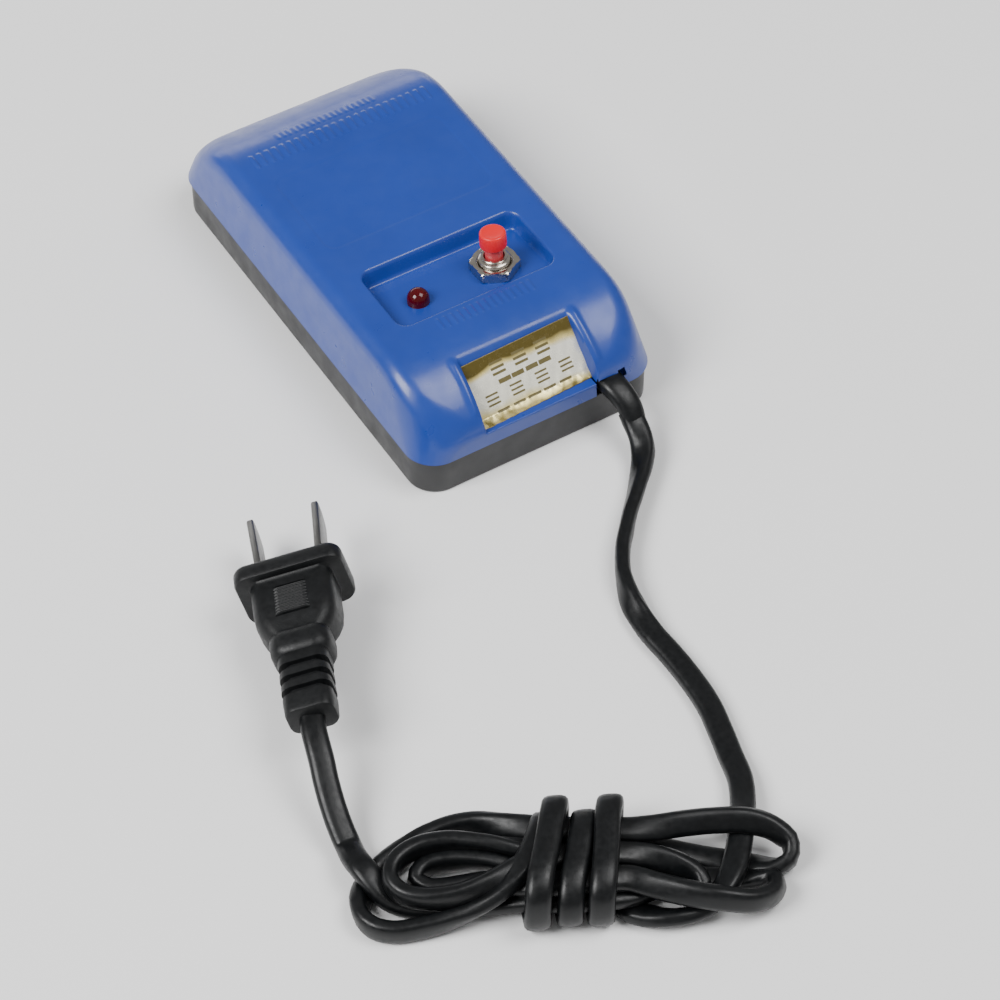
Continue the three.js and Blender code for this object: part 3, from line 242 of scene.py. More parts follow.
HANK_UPPER_RIGHT = (
    (-4.0, 8.4, 8.6, 0.0), (4.0, 7.4, 8.8, 0.0), (10.6, 6.4, 8.8, 0.1), (15.4, 6.4, 8.8, 0.3),
    (20.6, 6.8, 8.8, 0.5), (27.5, 7.0, 8.6, 0.5), (34.0, 6.5, 8.2, 0.6), (39.2, 4.9, 6.6, 0.9),
    (41.9, 2.4, 4.6, 1.0), (41.2, -0.2, 3.2, 0.9), (37.6, -0.7, 2.1, 0.4), (32.0, 1.0, 1.8, 0.0),
    (24.9, 3.0, 1.9, 0.0), (17.6, 4.6, 3.4, 0.0), (10.4, 5.6, 4.9, 0.0),
)
HANK_MIDDLE_LEFT = (
    (3.5, 5.6, 5.2, 0.0), (-3.5, 5.4, 5.4, 0.0), (-9.4, 5.4, 7.2, 0.3), (-16.4, 6.9, 8.0, 0.7),
    (-24.5, 8.2, 7.9, 1.0), (-30.8, 7.6, 7.6, 1.0), (-35.0, 4.8, 7.3, 1.0), (-36.2, 1.2, 7.0, 1.0),
    (-34.4, -2.0, 6.8, 1.0), (-30.0, -3.8, 6.8, 1.0), (-23.3, -3.9, 7.0, 0.8), (-16.6, -2.2, 7.8, 0.5),
    (-10.0, 0.6, 8.6, 0.1),
)
HANK_INNER_RIGHT = (
    (-3.5, 1.8, 8.7, 0.0), (3.5, 1.6, 8.7, 0.0), (9.4, 1.4, 8.0, 0.1), (14.5, 0.8, 7.0, 0.4),
    (19.4, -0.8, 5.8, 0.7), (22.8, -2.8, 4.4, 0.9), (23.6, -5.2, 3.2, 1.0), (20.9, -6.0, 2.8, 0.8),
    (15.6, -4.4, 3.2, 0.4), (9.2, -1.6, 4.8, 0.0),
)
HANK_INNER_LEFT = (
    (3.5, -0.2, 5.2, 0.0), (-3.5, 0.0, 5.2, 0.0), (-9.2, 2.2, 5.2, 0.3), (-16.5, 4.8, 5.2, 0.8),
    (-23.6, 6.0, 4.8, 1.0), (-29.0, 5.6, 4.2, 1.0), (-31.2, 3.0, 3.6, 1.0), (-28.8, 0.8, 3.2, 1.0),
    (-22.7, 0.4, 3.4, 0.8), (-16.9, -0.2, 4.6, 0.5), (-10.0, -2.6, 6.8, 0.1),
)
HANK_LOWER_RIGHT = (
    (-3.5, -4.4, 8.6, 0.0), (3.5, -4.4, 8.6, 0.0), (9.4, -4.2, 7.9, 0.2), (14.4, -6.2, 7.6, 0.5),
    (20.6, -8.9, 7.8, 0.7), (27.0, -10.7, 7.6, 0.8), (32.8, -10.6, 6.0, 0.9), (37.0, -8.0, 4.2, 1.0),
    (38.0, -4.4, 3.0, 0.8), (35.8, -2.6, 2.1, 0.4), (31.4, -2.2, 1.8, 0.0), (26.5, -2.0, 1.8, 0.0),
    (21.7, -1.6, 2.0, 0.0), (15.8, -3.0, 3.4, 0.0), (9.4, -5.6, 4.6, 0.0),
)
HANK_EXIT = (
    (3.5, -6.2, 5.2, 0.0), (-3.5, -6.0, 5.2, 0.0), (-9.4, -4.4, 4.4, 0.0), (-16.0, -3.6, 3.2, 0.0),
    (-22.6, -3.2, 2.3, 0.0), (-28.8, -2.4, 2.0, 0.0), (-33.4, -1.6, 2.2, 0.0), (-36.6, -0.2, 3.0, 0.0),
    (-38.9, 2.0, 4.6, 0.0), (-41.0, 5.0, 5.8, 0.0), (-42.6, 8.6, 5.0, 0.0),
)

# Plug, in its own frame: blades along +Y, the lead leaves at -Y
PLUG_PLACE = (-67.2, -66.4, 10.8)
PLUG_HEADING = -23.4
PLUG_PITCH = -3.6
PLUG_ROLL = 14.4
BLADE_PITCH = 12.7
BLADE_WIDTH = 6.35
BLADE_THICKNESS = 1.5
BLADE_LENGTH = 16.5
BLADE_SPLAY = 2.4
# y, width, height, corner radius along the plug's body
PLUG_STATIONS = (
    (0.0, 21.8, 13.6, 2.6), (-0.25, 22.6, 14.4, 2.9), (-0.8, 23.0, 14.8, 3.0), (-3.3, 23.0, 14.8, 3.0),
    (-3.85, 22.5, 14.3, 2.9), (-4.0, 21.7, 13.5, 2.7), (-4.0, 18.2, 11.4, 2.4), (-4.3, 17.5, 10.9, 2.6),
    (-5.0, 17.4, 10.8, 2.7), (-11.5, 17.4, 10.8, 2.9), (-14.0, 17.0, 10.5, 3.2), (-16.0, 15.6, 9.8, 3.2),
    (-17.6, 13.4, 9.0, 3.0), (-18.2, 12.0, 9.0, 3.0), (-18.7, 12.7, 9.8, 3.2), (-20.0, 13.0, 10.0, 3.4),
    (-22.2, 12.8, 9.8, 3.4), (-23.4, 11.8, 9.0, 3.2), (-23.8, 10.6, 8.2, 2.9), (-25.0, 10.6, 8.1, 2.4),
)
PLUG_SLOTS = (-27.7, -31.0, -34.3)
SLOT_WIDTH = 1.4
PLUG_END = -39.0
BLADE_ROOT = 3.8  # how far a blade reaches into the plug
# Ribbed window on the grip: half width, start and length along the plug, height, rim and ribs
WINDOW_HALF_WIDTH = 3.6
WINDOW_START = -6.5
WINDOW_LENGTH = 8.0
WINDOW_HEIGHT = 5.42
WINDOW_SKIRT = 5.3
WINDOW_RIM = 0.45
WINDOW_RIB = 0.30
WINDOW_RIBS = 10
WINDOW_CELLS = (12, 120)

# ---- camera, floor and light ----------------------------------------------------------------------


def set_camera():
    data = bpy.data.cameras.new("camera")
    data.lens = CAMERA_LENS
    data.sensor_width = CAMERA_SENSOR
    data.clip_start = 0.05
    data.clip_end = 20
    camera = bpy.data.objects.new("camera", data)
    camera.location = Vector(CAMERA_PLACE) * MM
    camera.rotation_euler = [math.radians(angle) for angle in CAMERA_TURN]
    bpy.context.scene.collection.objects.link(camera)
    bpy.context.scene.camera = camera


def add_light(name, place, size, power):
    data = bpy.data.lights.new(name, "AREA")
    data.shape = "RECTANGLE"
    data.size = size[0] * MM
    data.size_y = size[1] * MM
    data.energy = power
    light = bpy.data.objects.new(name, data)
    light.location = Vector(place) * MM
    light.rotation_euler = (Vector(LIGHT_TARGET) - Vector(place)).to_track_quat("-Z", "Y").to_euler()
    bpy.context.scene.collection.objects.link(light)


def set_light():
    world = bpy.data.worlds.new("studio")
    world.use_nodes = True
    background = world.node_tree.nodes["Background"]
    background.inputs["Color"].default_value = (1.0, 1.0, 1.0, 1.0)
    background.inputs["Strength"].default_value = WORLD_STRENGTH
    bpy.context.scene.world = world
    for light in LIGHTS:
        add_light(*light)


# ---- materials ------------------------------------------------------------------------------------


class Surface:
    """A node material with a Principled shader, in object coordinates in millimetres."""

    def __init__(self, name, color, roughness, metallic=0.0):
        self.material = bpy.data.materials.new(name)
        self.material.use_nodes = True
        self.nodes = self.material.node_tree.nodes
        self.links = self.material.node_tree.links
        self.shader = self.nodes["Principled BSDF"]
        self.color = color
        self.roughness = roughness
        self.set("Base Color", (*color, 1.0))
        self.set("Roughness", roughness)
        self.set("Metallic", metallic)
        coordinates = self.nodes.new("ShaderNodeTexCoord")
        scale = self.nodes.new("ShaderNodeVectorMath")
        scale.operation = "SCALE"
        scale.inputs["Scale"].default_value = 1 / MM
        self.links.new(coordinates.outputs["Object"], scale.inputs[0])
        self.place = scale.outputs["Vector"]
        self.height = None

    def set(self, socket, value):
        self.shader.inputs[socket].default_value = value

    def stretched(self, stretch):
        node = self.nodes.new("ShaderNodeVectorMath")
        node.operation = "MULTIPLY"
        node.inputs[1].default_value = stretch
        self.links.new(self.place, node.inputs[0])
        return node.outputs["Vector"]

    def noise(self, size, detail=3.0, stretch=(1.0, 1.0, 1.0)):
        node = self.nodes.new("ShaderNodeTexNoise")
        node.inputs["Scale"].default_value = 1 / size
        node.inputs["Detail"].default_value = detail
        self.links.new(self.stretched(stretch), node.inputs["Vector"])
        return node.outputs["Fac"]

    def wave(self, size, axis, distortion=0.0):
        node = self.nodes.new("ShaderNodeTexWave")
        node.bands_direction = axis
        node.inputs["Scale"].default_value = math.pi / (10 * size)
        node.inputs["Distortion"].default_value = distortion
        self.links.new(self.place, node.inputs["Vector"])
        return node.outputs["Fac"]

    def spread(self, factor, low, high, start=0.3, end=0.7):
        node = self.nodes.new("ShaderNodeMapRange")
        node.inputs["From Min"].default_value = start
        node.inputs["From Max"].default_value = end
        node.inputs["To Min"].default_value = low
        node.inputs["To Max"].default_value = high
        self.links.new(factor, node.inputs["Value"])
        return node.outputs["Result"]

    def tone(self, factor, other, amount):
        """Mixes the base colour towards the other colour by the factor."""
        node = self.nodes.new("ShaderNodeMix")
        node.data_type = "RGBA"
        node.inputs["A"].default_value = (*self.color, 1.0)
        node.inputs["B"].default_value = (*other, 1.0)
        self.links.new(self.spread(factor, 0.0, amount), node.inputs["Factor"])
        self.links.new(node.outputs["Result"], self.shader.inputs["Base Color"])

    def vary_roughness(self, factor, amount):
        low = max(self.roughness - amount, 0.02)
        self.links.new(self.spread(factor, low, self.roughness + amount), self.shader.inputs["Roughness"])

    def bump(self, factor, depth, strength=1.0):
        """Adds relief of the given depth in millimetres."""
        node = self.nodes.new("ShaderNodeBump")
        node.inputs["Strength"].default_value = strength
        node.inputs["Distance"].default_value = depth * MM
        self.links.new(factor, node.inputs["Height"])
        if self.height is not None:
            self.links.new(self.height, node.inputs["Normal"])
        self.height = node.outputs["Normal"]
        self.links.new(self.height, self.shader.inputs["Normal"])


def darker(color, factor):
    return tuple(channel * factor for channel in color)


def moulded(name, color, roughness, grain=0.25, relief=0.012, coat=0.0):
    """Moulded plastic: fine spark-eroded grain, faint flow marks and handling wear."""
    surface = Surface(name, color, roughness)
    surface.tone(surface.noise(18.0), darker(color, 0.82), 0.5)
    surface.vary_roughness(surface.noise(4.0, 5.0), 0.07)
    surface.bump(surface.noise(grain, 2.0), relief)
    surface.bump(surface.noise(9.0, 1.0), 0.03)
    surface.set("Coat Weight", coat)
    surface.set("Coat Roughness", 0.12)
    return surface.material


def plated(name, color, roughness, stretch=(1.0, 1.0, 1.0)):
    """Plated or drawn metal with fine marks along one direction."""
    surface = Surface(name, color, roughness, 1.0)
    marks = surface.noise(0.35, 4.0, stretch)
    surface.tone(surface.noise(3.0), darker(color, 0.72), 0.7)
    surface.vary_roughness(marks, 0.06)
    surface.bump(marks, 0.003)
    return surface.material


def soft_pvc(name, color, roughness, relief=0.02):
    """Flexible PVC with a satin skin, dust and small scuffs."""
    surface = Surface(name, color, roughness)
    surface.tone(surface.noise(2.2, 6.0), tuple(channel * 1.8 for channel in color), 0.8)
    surface.set("Specular IOR Level", 0.32)
    surface.vary_roughness(surface.noise(1.1, 5.0), 0.08)
    surface.bump(surface.noise(0.3, 3.0), relief)
    return surface.material


def tinted_lens():
    surface = Surface("lens_red", (0.05, 0.0006, 0.002), 0.07)
    surface.tone(surface.noise(2.5), (0.09, 0.001, 0.003), 0.8)
    surface.bump(surface.noise(1.5, 1.0), 0.004)
    surface.set("Specular IOR Level", 0.4)
    surface.set("Subsurface Weight", 0.15)
    surface.set("Subsurface Scale", 0.002)
    return surface.material


def label_foil():
    """Gold foil: pale and bright across the middle, with olive bands along both long edges."""
    surface = Surface("label_foil", (0.90, 0.84, 0.60), 0.24, 0.35)
    uv = surface.nodes.new("ShaderNodeUVMap")
    split = surface.nodes.new("ShaderNodeSeparateXYZ")
    surface.links.new(uv.outputs["UV"], split.inputs["Vector"])
    wobble = surface.nodes.new("ShaderNodeMath")
    wobble.operation = "MULTIPLY_ADD"
    wobble.inputs[1].default_value = 0.34
    surface.links.new(surface.noise(9.0, 1.0), wobble.inputs[0])
    surface.links.new(split.outputs["Y"], wobble.inputs[2])
    ramp = surface.nodes.new("ShaderNodeValToRGB")
    surface.links.new(wobble.outputs["Value"], ramp.inputs["Fac"])
    elements = ramp.color_ramp.elements
    for position, color in FOIL_BANDS[1:-1]:
        elements.new(position).color = (*color, 1.0)
    elements[0].color = (*FOIL_BANDS[0][1], 1.0)
    elements[-1].color = (*FOIL_BANDS[-1][1], 1.0)
    surface.links.new(ramp.outputs["Color"], surface.shader.inputs["Base Color"])
    surface.vary_roughness(surface.noise(1.2, 4.0), 0.1)
    surface.bump(surface.noise(4.0, 2.0), 0.12, 0.5)
    return surface.material


def wound_copper():
    surface = Surface("winding_enamel", (0.42, 0.13, 0.045), 0.3, 0.6)
    surface.tone(surface.noise(2.0), (0.25, 0.07, 0.02), 0.8)
    surface.bump(surface.wave(0.4, "Y"), 0.15)
    return surface.material


def stacked_steel():
    surface = Surface("core_laminations", (0.17, 0.17, 0.18), 0.5, 0.9)
    surface.tone(surface.noise(3.0, 5.0), (0.10, 0.07, 0.05), 0.7)
    surface.bump(surface.wave(0.5, "X", 0.3), 0.1)
    return surface.material


def floor_paper():
    surface = Surface("floor_paper", (0.93, 0.93, 0.93), 0.85)
    surface.tone(surface.noise(60.0), (0.90, 0.90, 0.90), 0.5)
    surface.bump(surface.noise(0.8, 2.0), 0.01)
    return surface.material


def make_materials():
    along_x = (0.05, 1.0, 1.0)
    return {
        "cover_blue": moulded("cover_blue", (0.011, 0.047, 0.30), 0.34, 0.22, 0.006, 0.2),
        "case_black": moulded("case_black", (0.010, 0.010, 0.011), 0.42, 0.3, 0.012),
        "label_foil": label_foil(),
        "label_ink": moulded("label_ink", (0.13, 0.105, 0.035), 0.4, 0.2, 0.01),
        "switch_nickel": plated("switch_nickel", (0.66, 0.61, 0.54), 0.2, (1.0, 0.12, 1.0)),
        "button_red": moulded("button_red", (0.78, 0.004, 0.008), 0.4, 0.3, 0.006),
        "stem_red": moulded("stem_red", (0.62, 0.05, 0.06), 0.38, 0.3, 0.01),
        "lens_red": tinted_lens(),
        "cord_pvc": soft_pvc("cord_pvc", (0.003, 0.0034, 0.0038), 0.36, 0.012),
        "plug_pvc": soft_pvc("plug_pvc", (0.003, 0.0034, 0.0038), 0.44, 0.03),
        "blade_nickel": plated("blade_nickel", (0.20, 0.197, 0.19), 0.36, (1.0, 0.08, 1.0)),
        "screw_steel": plated("screw_steel", (0.60, 0.58, 0.54), 0.32),
        "switch_phenolic": moulded("switch_phenolic", (0.09, 0.045, 0.022), 0.5),
        "contact_brass": plated("contact_brass", (0.70, 0.53, 0.23), 0.3),
        "spring_steel": plated("spring_steel", (0.58, 0.58, 0.58), 0.28),
        "leg_tinned": plated("leg_tinned", (0.64, 0.64, 0.64), 0.35, along_x),
        "resistor_paint": moulded("resistor_paint", (0.58, 0.40, 0.20), 0.4),
        "diode_epoxy": moulded("diode_epoxy", (0.03, 0.03, 0.03), 0.5),
        "core_laminations": stacked_steel(),
        "bobbin_nylon": moulded("bobbin_nylon", (0.68, 0.63, 0.48), 0.5),
        "winding_enamel": wound_copper(),
        "coil_tape": moulded("coil_tape", (0.70, 0.50, 0.06), 0.3),
        "wire_red": soft_pvc("wire_red", (0.42, 0.015, 0.015), 0.4),
        "wire_blue": soft_pvc("wire_blue", (0.02, 0.06, 0.33), 0.4),
    }


# ---- mesh helpers ---------------------------------------------------------------------------------


def make_piece(name, points, faces, material, body, nodes=(), sharp=38.0):
    mesh = bpy.data.meshes.new(name)
    mesh.from_pydata([tuple(point) for point in np.asarray(points, float) * MM], [], faces)
    mesh.validate()
    mesh.shade_smooth()
    mesh.set_sharp_from_angle(angle=math.radians(sharp))
    piece = bpy.data.objects.new(name, mesh)
    bpy.context.scene.collection.objects.link(piece)
    mesh.materials.append(material)
    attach(piece, body)
    if nodes:
        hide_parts(*nodes)
    return piece


def band_faces(lower, upper, closed=True):
    """Quads between two index rows of the same length."""
    count = len(lower)
    last = count if closed else count - 1
    return [(lower[i], lower[(i + 1) % count], upper[(i + 1) % count], upper[i]) for i in range(last)]


def loft(rows, cap=True, closed_path=False):
    """Joins rows of points, each a closed ring, into one surface."""
    points = [point for row in rows for point in row]
    count = len(rows[0])
    index = [list(range(i * count, (i + 1) * count)) for i in range(len(rows))]
    faces = []
    for lower, upper in zip(index, index[1:]):
        faces += band_faces(lower, upper)
    if closed_path:
        faces += band_faces(index[-1], index[0])
    elif cap:
        faces.append(tuple(reversed(index[0])))
        faces.append(tuple(index[-1]))
    return points, faces


def turned(profile, segments=64, shape=None):
    """Rings about +Z from [radius, height] pairs; shape may limit the radius by angle."""
    rows = []
    for radius, height in profile:
        row = []
        for i in range(segments):
            angle = 2 * math.pi * i / segments
            reach = radius if shape is None else min(radius, shape(angle))
            row.append((reach * math.cos(angle), reach * math.sin(angle), height))
        rows.append(row)
    return rows


def transform(points, matrix):
    return [tuple(matrix @ Vector(point)) for point in points]


def smooth_step(value):
    t = np.clip(value, 0.0, 1.0)
    return t * t * (3 - 2 * t)


def smooth_min(a, b, blend):
    h = np.clip(0.5 + 0.5 * (b - a) / blend, 0.0, 1.0)
    return b * (1 - h) + a * h - blend * h * (1 - h)


def smooth_max(a, b, blend):
    return -smooth_min(-a, -b, blend)


def bezier(points, count=60):
    t = np.linspace(0.0, 1.0, count)[:, None]
    p = np.asarray(points, float)
    return (1 - t) ** 3 * p[0] + 3 * (1 - t) ** 2 * t * p[1] + 3 * (1 - t) * t**2 * p[2] + t**3 * p[3]


def box_distance(x, y, half, radius):
    """Signed distance to a rounded rectangle centred on the origin, negative inside."""
    qx = np.abs(x) - half[0] + radius
    qy = np.abs(y) - half[1] + radius
    outside = np.hypot(np.maximum(qx, 0), np.maximum(qy, 0))
    return outside + np.minimum(np.maximum(qx, qy), 0) - radius


# ---- cover ----------------------------------------------------------------------------------------


def cover_profile():
    """Side profile of the cover's top as y and z samples."""
    front = bezier((
        (-HALF_LENGTH, BAND_TOP),
        (-HALF_LENGTH + CROWN_LOWER_HANDLE[0] * CROWN_LENGTH,
         BAND_TOP + CROWN_LOWER_HANDLE[1] * (COVER_TOP - BAND_TOP)),
        (-HALF_LENGTH + CROWN_UPPER_HANDLE * CROWN_LENGTH, COVER_TOP),
        (-HALF_LENGTH + CROWN_LENGTH, COVER_TOP)))
    start = HALF_LENGTH - BACK_ROUND
    back = bezier((
        (start, COVER_TOP), (start + BACK_UPPER_HANDLE * BACK_ROUND, COVER_TOP),
        (HALF_LENGTH - BACK_LOWER_HANDLE[0], BACK_LOWER_HANDLE[1]), (HALF_LENGTH, SEAM + EDGE_RADIUS)))
    return np.concatenate([front[:, 0], back[:, 0]]), np.concatenate([front[:, 1], back[:, 1]])


PROFILE_Y, PROFILE_Z = cover_profile()


def crown(y):
    return np.interp(y, PROFILE_Y, PROFILE_Z)


def well_relief(x, y, z):
    local = y - WELL_CENTRE
    distance = box_distance(x, local, WELL_HALF, WELL_RADIUS)
    floor = COVER_TOP - WELL_DEPTH - local * math.tan(math.radians(WELL_TILT))
    wall = COVER_TOP + WELL_STEEPNESS * (distance + 0.1)
    sunk = smooth_max(smooth_min(z, wall, WELL_RIM_BLEND), floor, WELL_FOOT_BLEND)
    return np.where(distance < 1.5, sunk, z)


def seat_relief(x, y, z):
    """Sloped seat for the label with a ledge below it and a raised ridge along each side."""
    along = y + HALF_LENGTH
    foot_along, foot_height = SEAT_FOOT
    slope = foot_height + np.maximum(along - foot_along, 0) * math.tan(math.radians(SEAT_SLOPE))
    inside = smooth_step((SEAT_HALF_WIDTH + 0.25 - np.abs(x)) / 0.5)
    lowered = smooth_min(z, slope, 0.25)
    off_ridge = (np.abs(x) - SEAT_HALF_WIDTH - RIDGE_OFFSET) / RIDGE_WIDTH
    ends = smooth_step(along / 1.5) * smooth_step((SEAT_LENGTH - 1 - along) / 2.5)
    ridge = RIDGE_HEIGHT * np.exp(-(off_ridge**2)) * ends
    return np.where(along < SEAT_LENGTH, z * (1 - inside) + lowered * inside + ridge, z)


def panel_relief(x, y, z):
    """A shallow sunk panel on the work surface."""
    distance = box_distance(x, y - PANEL_CENTRE, PANEL_HALF, PANEL_RADIUS)
    depth, width = PANEL_GROOVE
    groove = depth * np.exp(-((distance / width) ** 2))
    return z - groove - PANEL_DEPTH * smooth_step(-distance / 0.6)


def rib_relief(x, y, z):
    """Rows of short upright moulded ribs."""
    for centre, first, last, height, pitch, width, relief in RIB_ROWS:
        phase = np.mod(x - first, pitch) - pitch / 2
        across = smooth_step((width / 2 - np.abs(phase)) / RIB_SOFTNESS + 0.5)
        along = smooth_step((height / 2 - np.abs(y - centre)) / RIB_SOFTNESS + 0.5)
        within = (x > first) & (x < last)
        z = z + relief * across * along * within
    return z


def cover_height(x, y, z):
    for relief in (well_relief, seat_relief, panel_relief, rib_relief):
        z = relief(x, y, z)
    return z


def quarter_length(half, radius):
    return half - radius + radius * math.pi / 4


class CoverOutline:
    """Rounded outline that the nodes along the edge of the cover's central grid are led to."""

    def __init__(self, xs, ys):
        front = [(x, -GRID_Y) for x in xs[:-1]]
        right = [(GRID_X, y) for y in ys[:-1]]
        back = [(x, GRID_Y) for x in xs[:0:-1]]
        left = [(-GRID_X, y) for y in ys[:0:-1]]
        self.start = np.array(front + right + back + left)
        x = self.start[:, 0]
        y = self.start[:, 1]
        self.on_end = np.abs(np.abs(y) - GRID_Y) < 1e-6
        self.sign_x = np.where(x < 0, -1.0, 1.0)
        self.sign_y = np.where(y < 0, -1.0, 1.0)
        self.position = np.where(self.on_end, np.abs(x), np.abs(y))
        self.straight = np.where(self.on_end, STRAIGHT_X, STRAIGHT_Y)
        self.reach = np.where(self.on_end, GRID_X, GRID_Y)
        self.half = np.where(self.on_end, HALF_WIDTH, HALF_LENGTH)
        self.across = np.where(self.on_end, HALF_LENGTH, HALF_WIDTH)
        fade = smooth_step((np.abs(x) - FRONT_EDGE_SPAN[0]) / FRONT_EDGE_SPAN[1])
        front_edge = FRONT_EDGE_RADIUS + (EDGE_RADIUS - FRONT_EDGE_RADIUS) * fade
        self.edge = np.where(self.on_end & (y < 0), front_edge, EDGE_RADIUS)

    def ring(self, inset, radius):
        """Points of the outline inset by the given amount, with the given corner radius."""
        length = quarter_length(self.half, radius)
        stretch = (length - self.straight) / (self.reach - self.straight)
        beyond = np.maximum(self.position - self.straight, 0)
        travel = np.minimum(self.position, self.straight) + beyond * stretch
        angle = np.maximum(travel - (self.half - radius), 0) / radius
        along = np.minimum(travel, self.half - radius) + (radius - inset) * np.sin(angle)
        across = self.across - radius + (radius - inset) * np.cos(angle)
        x = self.sign_x * np.where(self.on_end, along, across)
        y = self.sign_y * np.where(self.on_end, across, along)
        return x, y

    def level(self, inset, height_of):
        """The ring at an inset whose height depends on its own place."""
        radius = np.full(len(self.start), CORNER_RADIUS + CORNER_GROWTH)
        for _ in range(4):
            x, y = self.ring(inset, radius)
            z = height_of(y)
            rise = np.clip((z - SEAM) / (COVER_TOP - SEAM), 0, 1)
            radius = CORNER_RADIUS + CORNER_GROWTH * rise
        return x, y, z


def lean_in(x, z):
    rise = (z - SEAM) / (COVER_TOP - SEAM)
    return x * (1 - LEAN * rise / HALF_WIDTH)


def cover_rings(outline):
    """Rows of nodes from the central grid out over the rounded edge and down to the lip."""
    rings = []
    edge = outline.edge
    x_in, y_in, _ = outline.level(edge, crown)
    for i in range(1, FAN_RINGS + 1):
        t = i / FAN_RINGS
        x = outline.start[:, 0] * (1 - t) + x_in * t
        y = outline.start[:, 1] * (1 - t) + y_in * t
        rings.append((x, y, cover_height(x, y, crown(y))))
    for i in range(1, FILLET_RINGS + 1):
        angle = math.radians(90 * i / FILLET_RINGS)
        inset = edge * (1 - math.sin(angle))
        drop = edge * (1 - math.cos(angle))
        x, y, z = outline.level(inset, lambda place, drop=drop: np.maximum(crown(place) - drop, SEAM))
        rings.append((x, y, np.minimum(z, cover_height(x, y, z))))
    wall_top = rings[-1][2]
    for i in range(1, WALL_RINGS + 1):
        z = wall_top + (SEAM - wall_top) * i / WALL_RINGS
        radius = CORNER_RADIUS + CORNER_GROWTH * (z - SEAM) / (COVER_TOP - SEAM)
        x, y = outline.ring(np.zeros(len(z)), radius)
        rings.append((x, y, z))
    for inset, height in ((0.15, SEAM), (COVER_LIP, SEAM), (COVER_LIP, SEAM + 3)):
        x, y = outline.ring(np.full(len(wall_top), inset), np.full(len(wall_top), CORNER_RADIUS))
        rings.append((x, y, np.full(len(x), height)))
    return rings


def near_axis(point, x, radius):
    """Whether a point of the well floor lies within a radius of a control's axis."""
    y = WELL_CENTRE + CONTROL_Y
    return math.hypot(point[0] - x, point[1] - y) < radius


def in_notch(point):
    return point[1] < NOTCH_BACK and NOTCH[0] < point[0] < NOTCH[1] and point[2] < NOTCH_TOP


def keep_face(corners):
    centre = np.mean(corners, axis=0)
    if near_axis(centre, SWITCH_X, SWITCH_HOLE) or near_axis(centre, LED_X, LED_HOLE):
        return False
    return not in_notch(centre)


def make_cover(material):
    xs = np.linspace(-GRID_X, GRID_X, round(2 * GRID_X / GRID_STEP) + 1)
    ys = np.linspace(-GRID_Y, GRID_Y, round(2 * GRID_Y / GRID_STEP) + 1)
    gx, gy = np.meshgrid(xs, ys)
    gz = cover_height(gx, gy, crown(gy))
    points = np.stack([gx.ravel(), gy.ravel(), gz.ravel()], axis=1)
    columns = len(xs)
    faces = []
    for j in range(len(ys) - 1):
        row = [j * columns + i for i in range(columns)]
        above = [index + columns for index in row]
        faces += band_faces(row, above, closed=False)
    outline = CoverOutline(xs, ys)
    last_row = (len(ys) - 1) * columns
    edge = list(range(columns - 1))
    edge += [j * columns + columns - 1 for j in range(len(ys) - 1)]
    edge += [last_row + i for i in range(columns - 1, 0, -1)]
    edge += [j * columns for j in range(len(ys) - 1, 0, -1)]
    rows = [points]
    previous = edge
    offset = len(points)
    for x, y, z in cover_rings(outline):
        rows.append(np.stack([x, y, z], axis=1))
        current = list(range(offset, offset + len(x)))
        faces += band_faces(current, previous)
        previous = current
        offset += len(x)
    points = np.concatenate(rows)
    points[:, 0] = lean_in(points[:, 0], points[:, 2])
    faces = [face for face in faces if keep_face(points[list(face)])]
    make_piece("cover", points, faces, material, "case", ["top_cover"], 60.0)


# ---- base, label and controls ---------------------------------------------------------------------


def rounded_ring(half_x, half_y, radius, height, steps=14):
    ring = []
    for quarter, (sx, sy) in enumerate(((1, 1), (-1, 1), (-1, -1), (1, -1))):
        for i in range(steps + 1):
            angle = math.pi / 2 * (quarter + i / steps)
            ring.append((
                sx * (half_x - radius) + radius * math.cos(angle),
                sy * (half_y - radius) + radius * math.sin(angle), height))
    return ring


def cut_holes(piece, places, radius, depth):
    """Sinks round recesses into the underside of a piece."""
    points, faces = loft(turned([(radius, -1.0), (radius, depth)], 32))
    cutters = []
    for x, y in places:
        mesh = bpy.data.meshes.new("cutter")
        mesh.from_pydata([((px + x) * MM, (py + y) * MM, pz * MM) for px, py, pz in points], [], faces)
        cutters.append(bpy.data.objects.new("cutter", mesh))
    for cutter in cutters:
        bpy.context.scene.collection.objects.link(cutter)
        modifier = piece.modifiers.new("recess", "BOOLEAN")
        modifier.operation = "DIFFERENCE"
        modifier.object = cutter
        modifier.solver = "EXACT"
    depsgraph = bpy.context.evaluated_depsgraph_get()
    cut_mesh = bpy.data.meshes.new_from_object(piece.evaluated_get(depsgraph))
    piece.modifiers.clear()
    piece.data = cut_mesh
    for cutter in cutters:
        bpy.data.objects.remove(cutter)


def make_base(material):
    half_x = HALF_WIDTH - BASE_INSET
    half_y = HALF_LENGTH - BASE_INSET
    radius = CORNER_RADIUS - BASE_INSET
    rows = [
        rounded_ring(half_x - inset, half_y - inset, radius - inset, height)
        for inset, height in BASE_LEVELS]
    points, faces = loft(rows)
    piece = make_piece("base", points, faces, material, "case", ["base_tray"])
    places = [(side * SCREW_X, y) for side in (-1, 1) for y in SCREW_Y]
    cut_holes(piece, places, *SCREW_RECESS)


def in_marks(u, v):
    """Whether a place on the label, from 0 to 1 each way, is printed."""
    for bottom, top, bars, middles in LABEL_MARKS:
        if not bottom < v < top:
            continue
        line = (v - bottom) / (top - bottom) * (2 * bars - 1)
        if int(line) % 2 == 0:
            return any(abs(u - middle) < MARK_HALF_WIDTH for middle in middles)
    return False


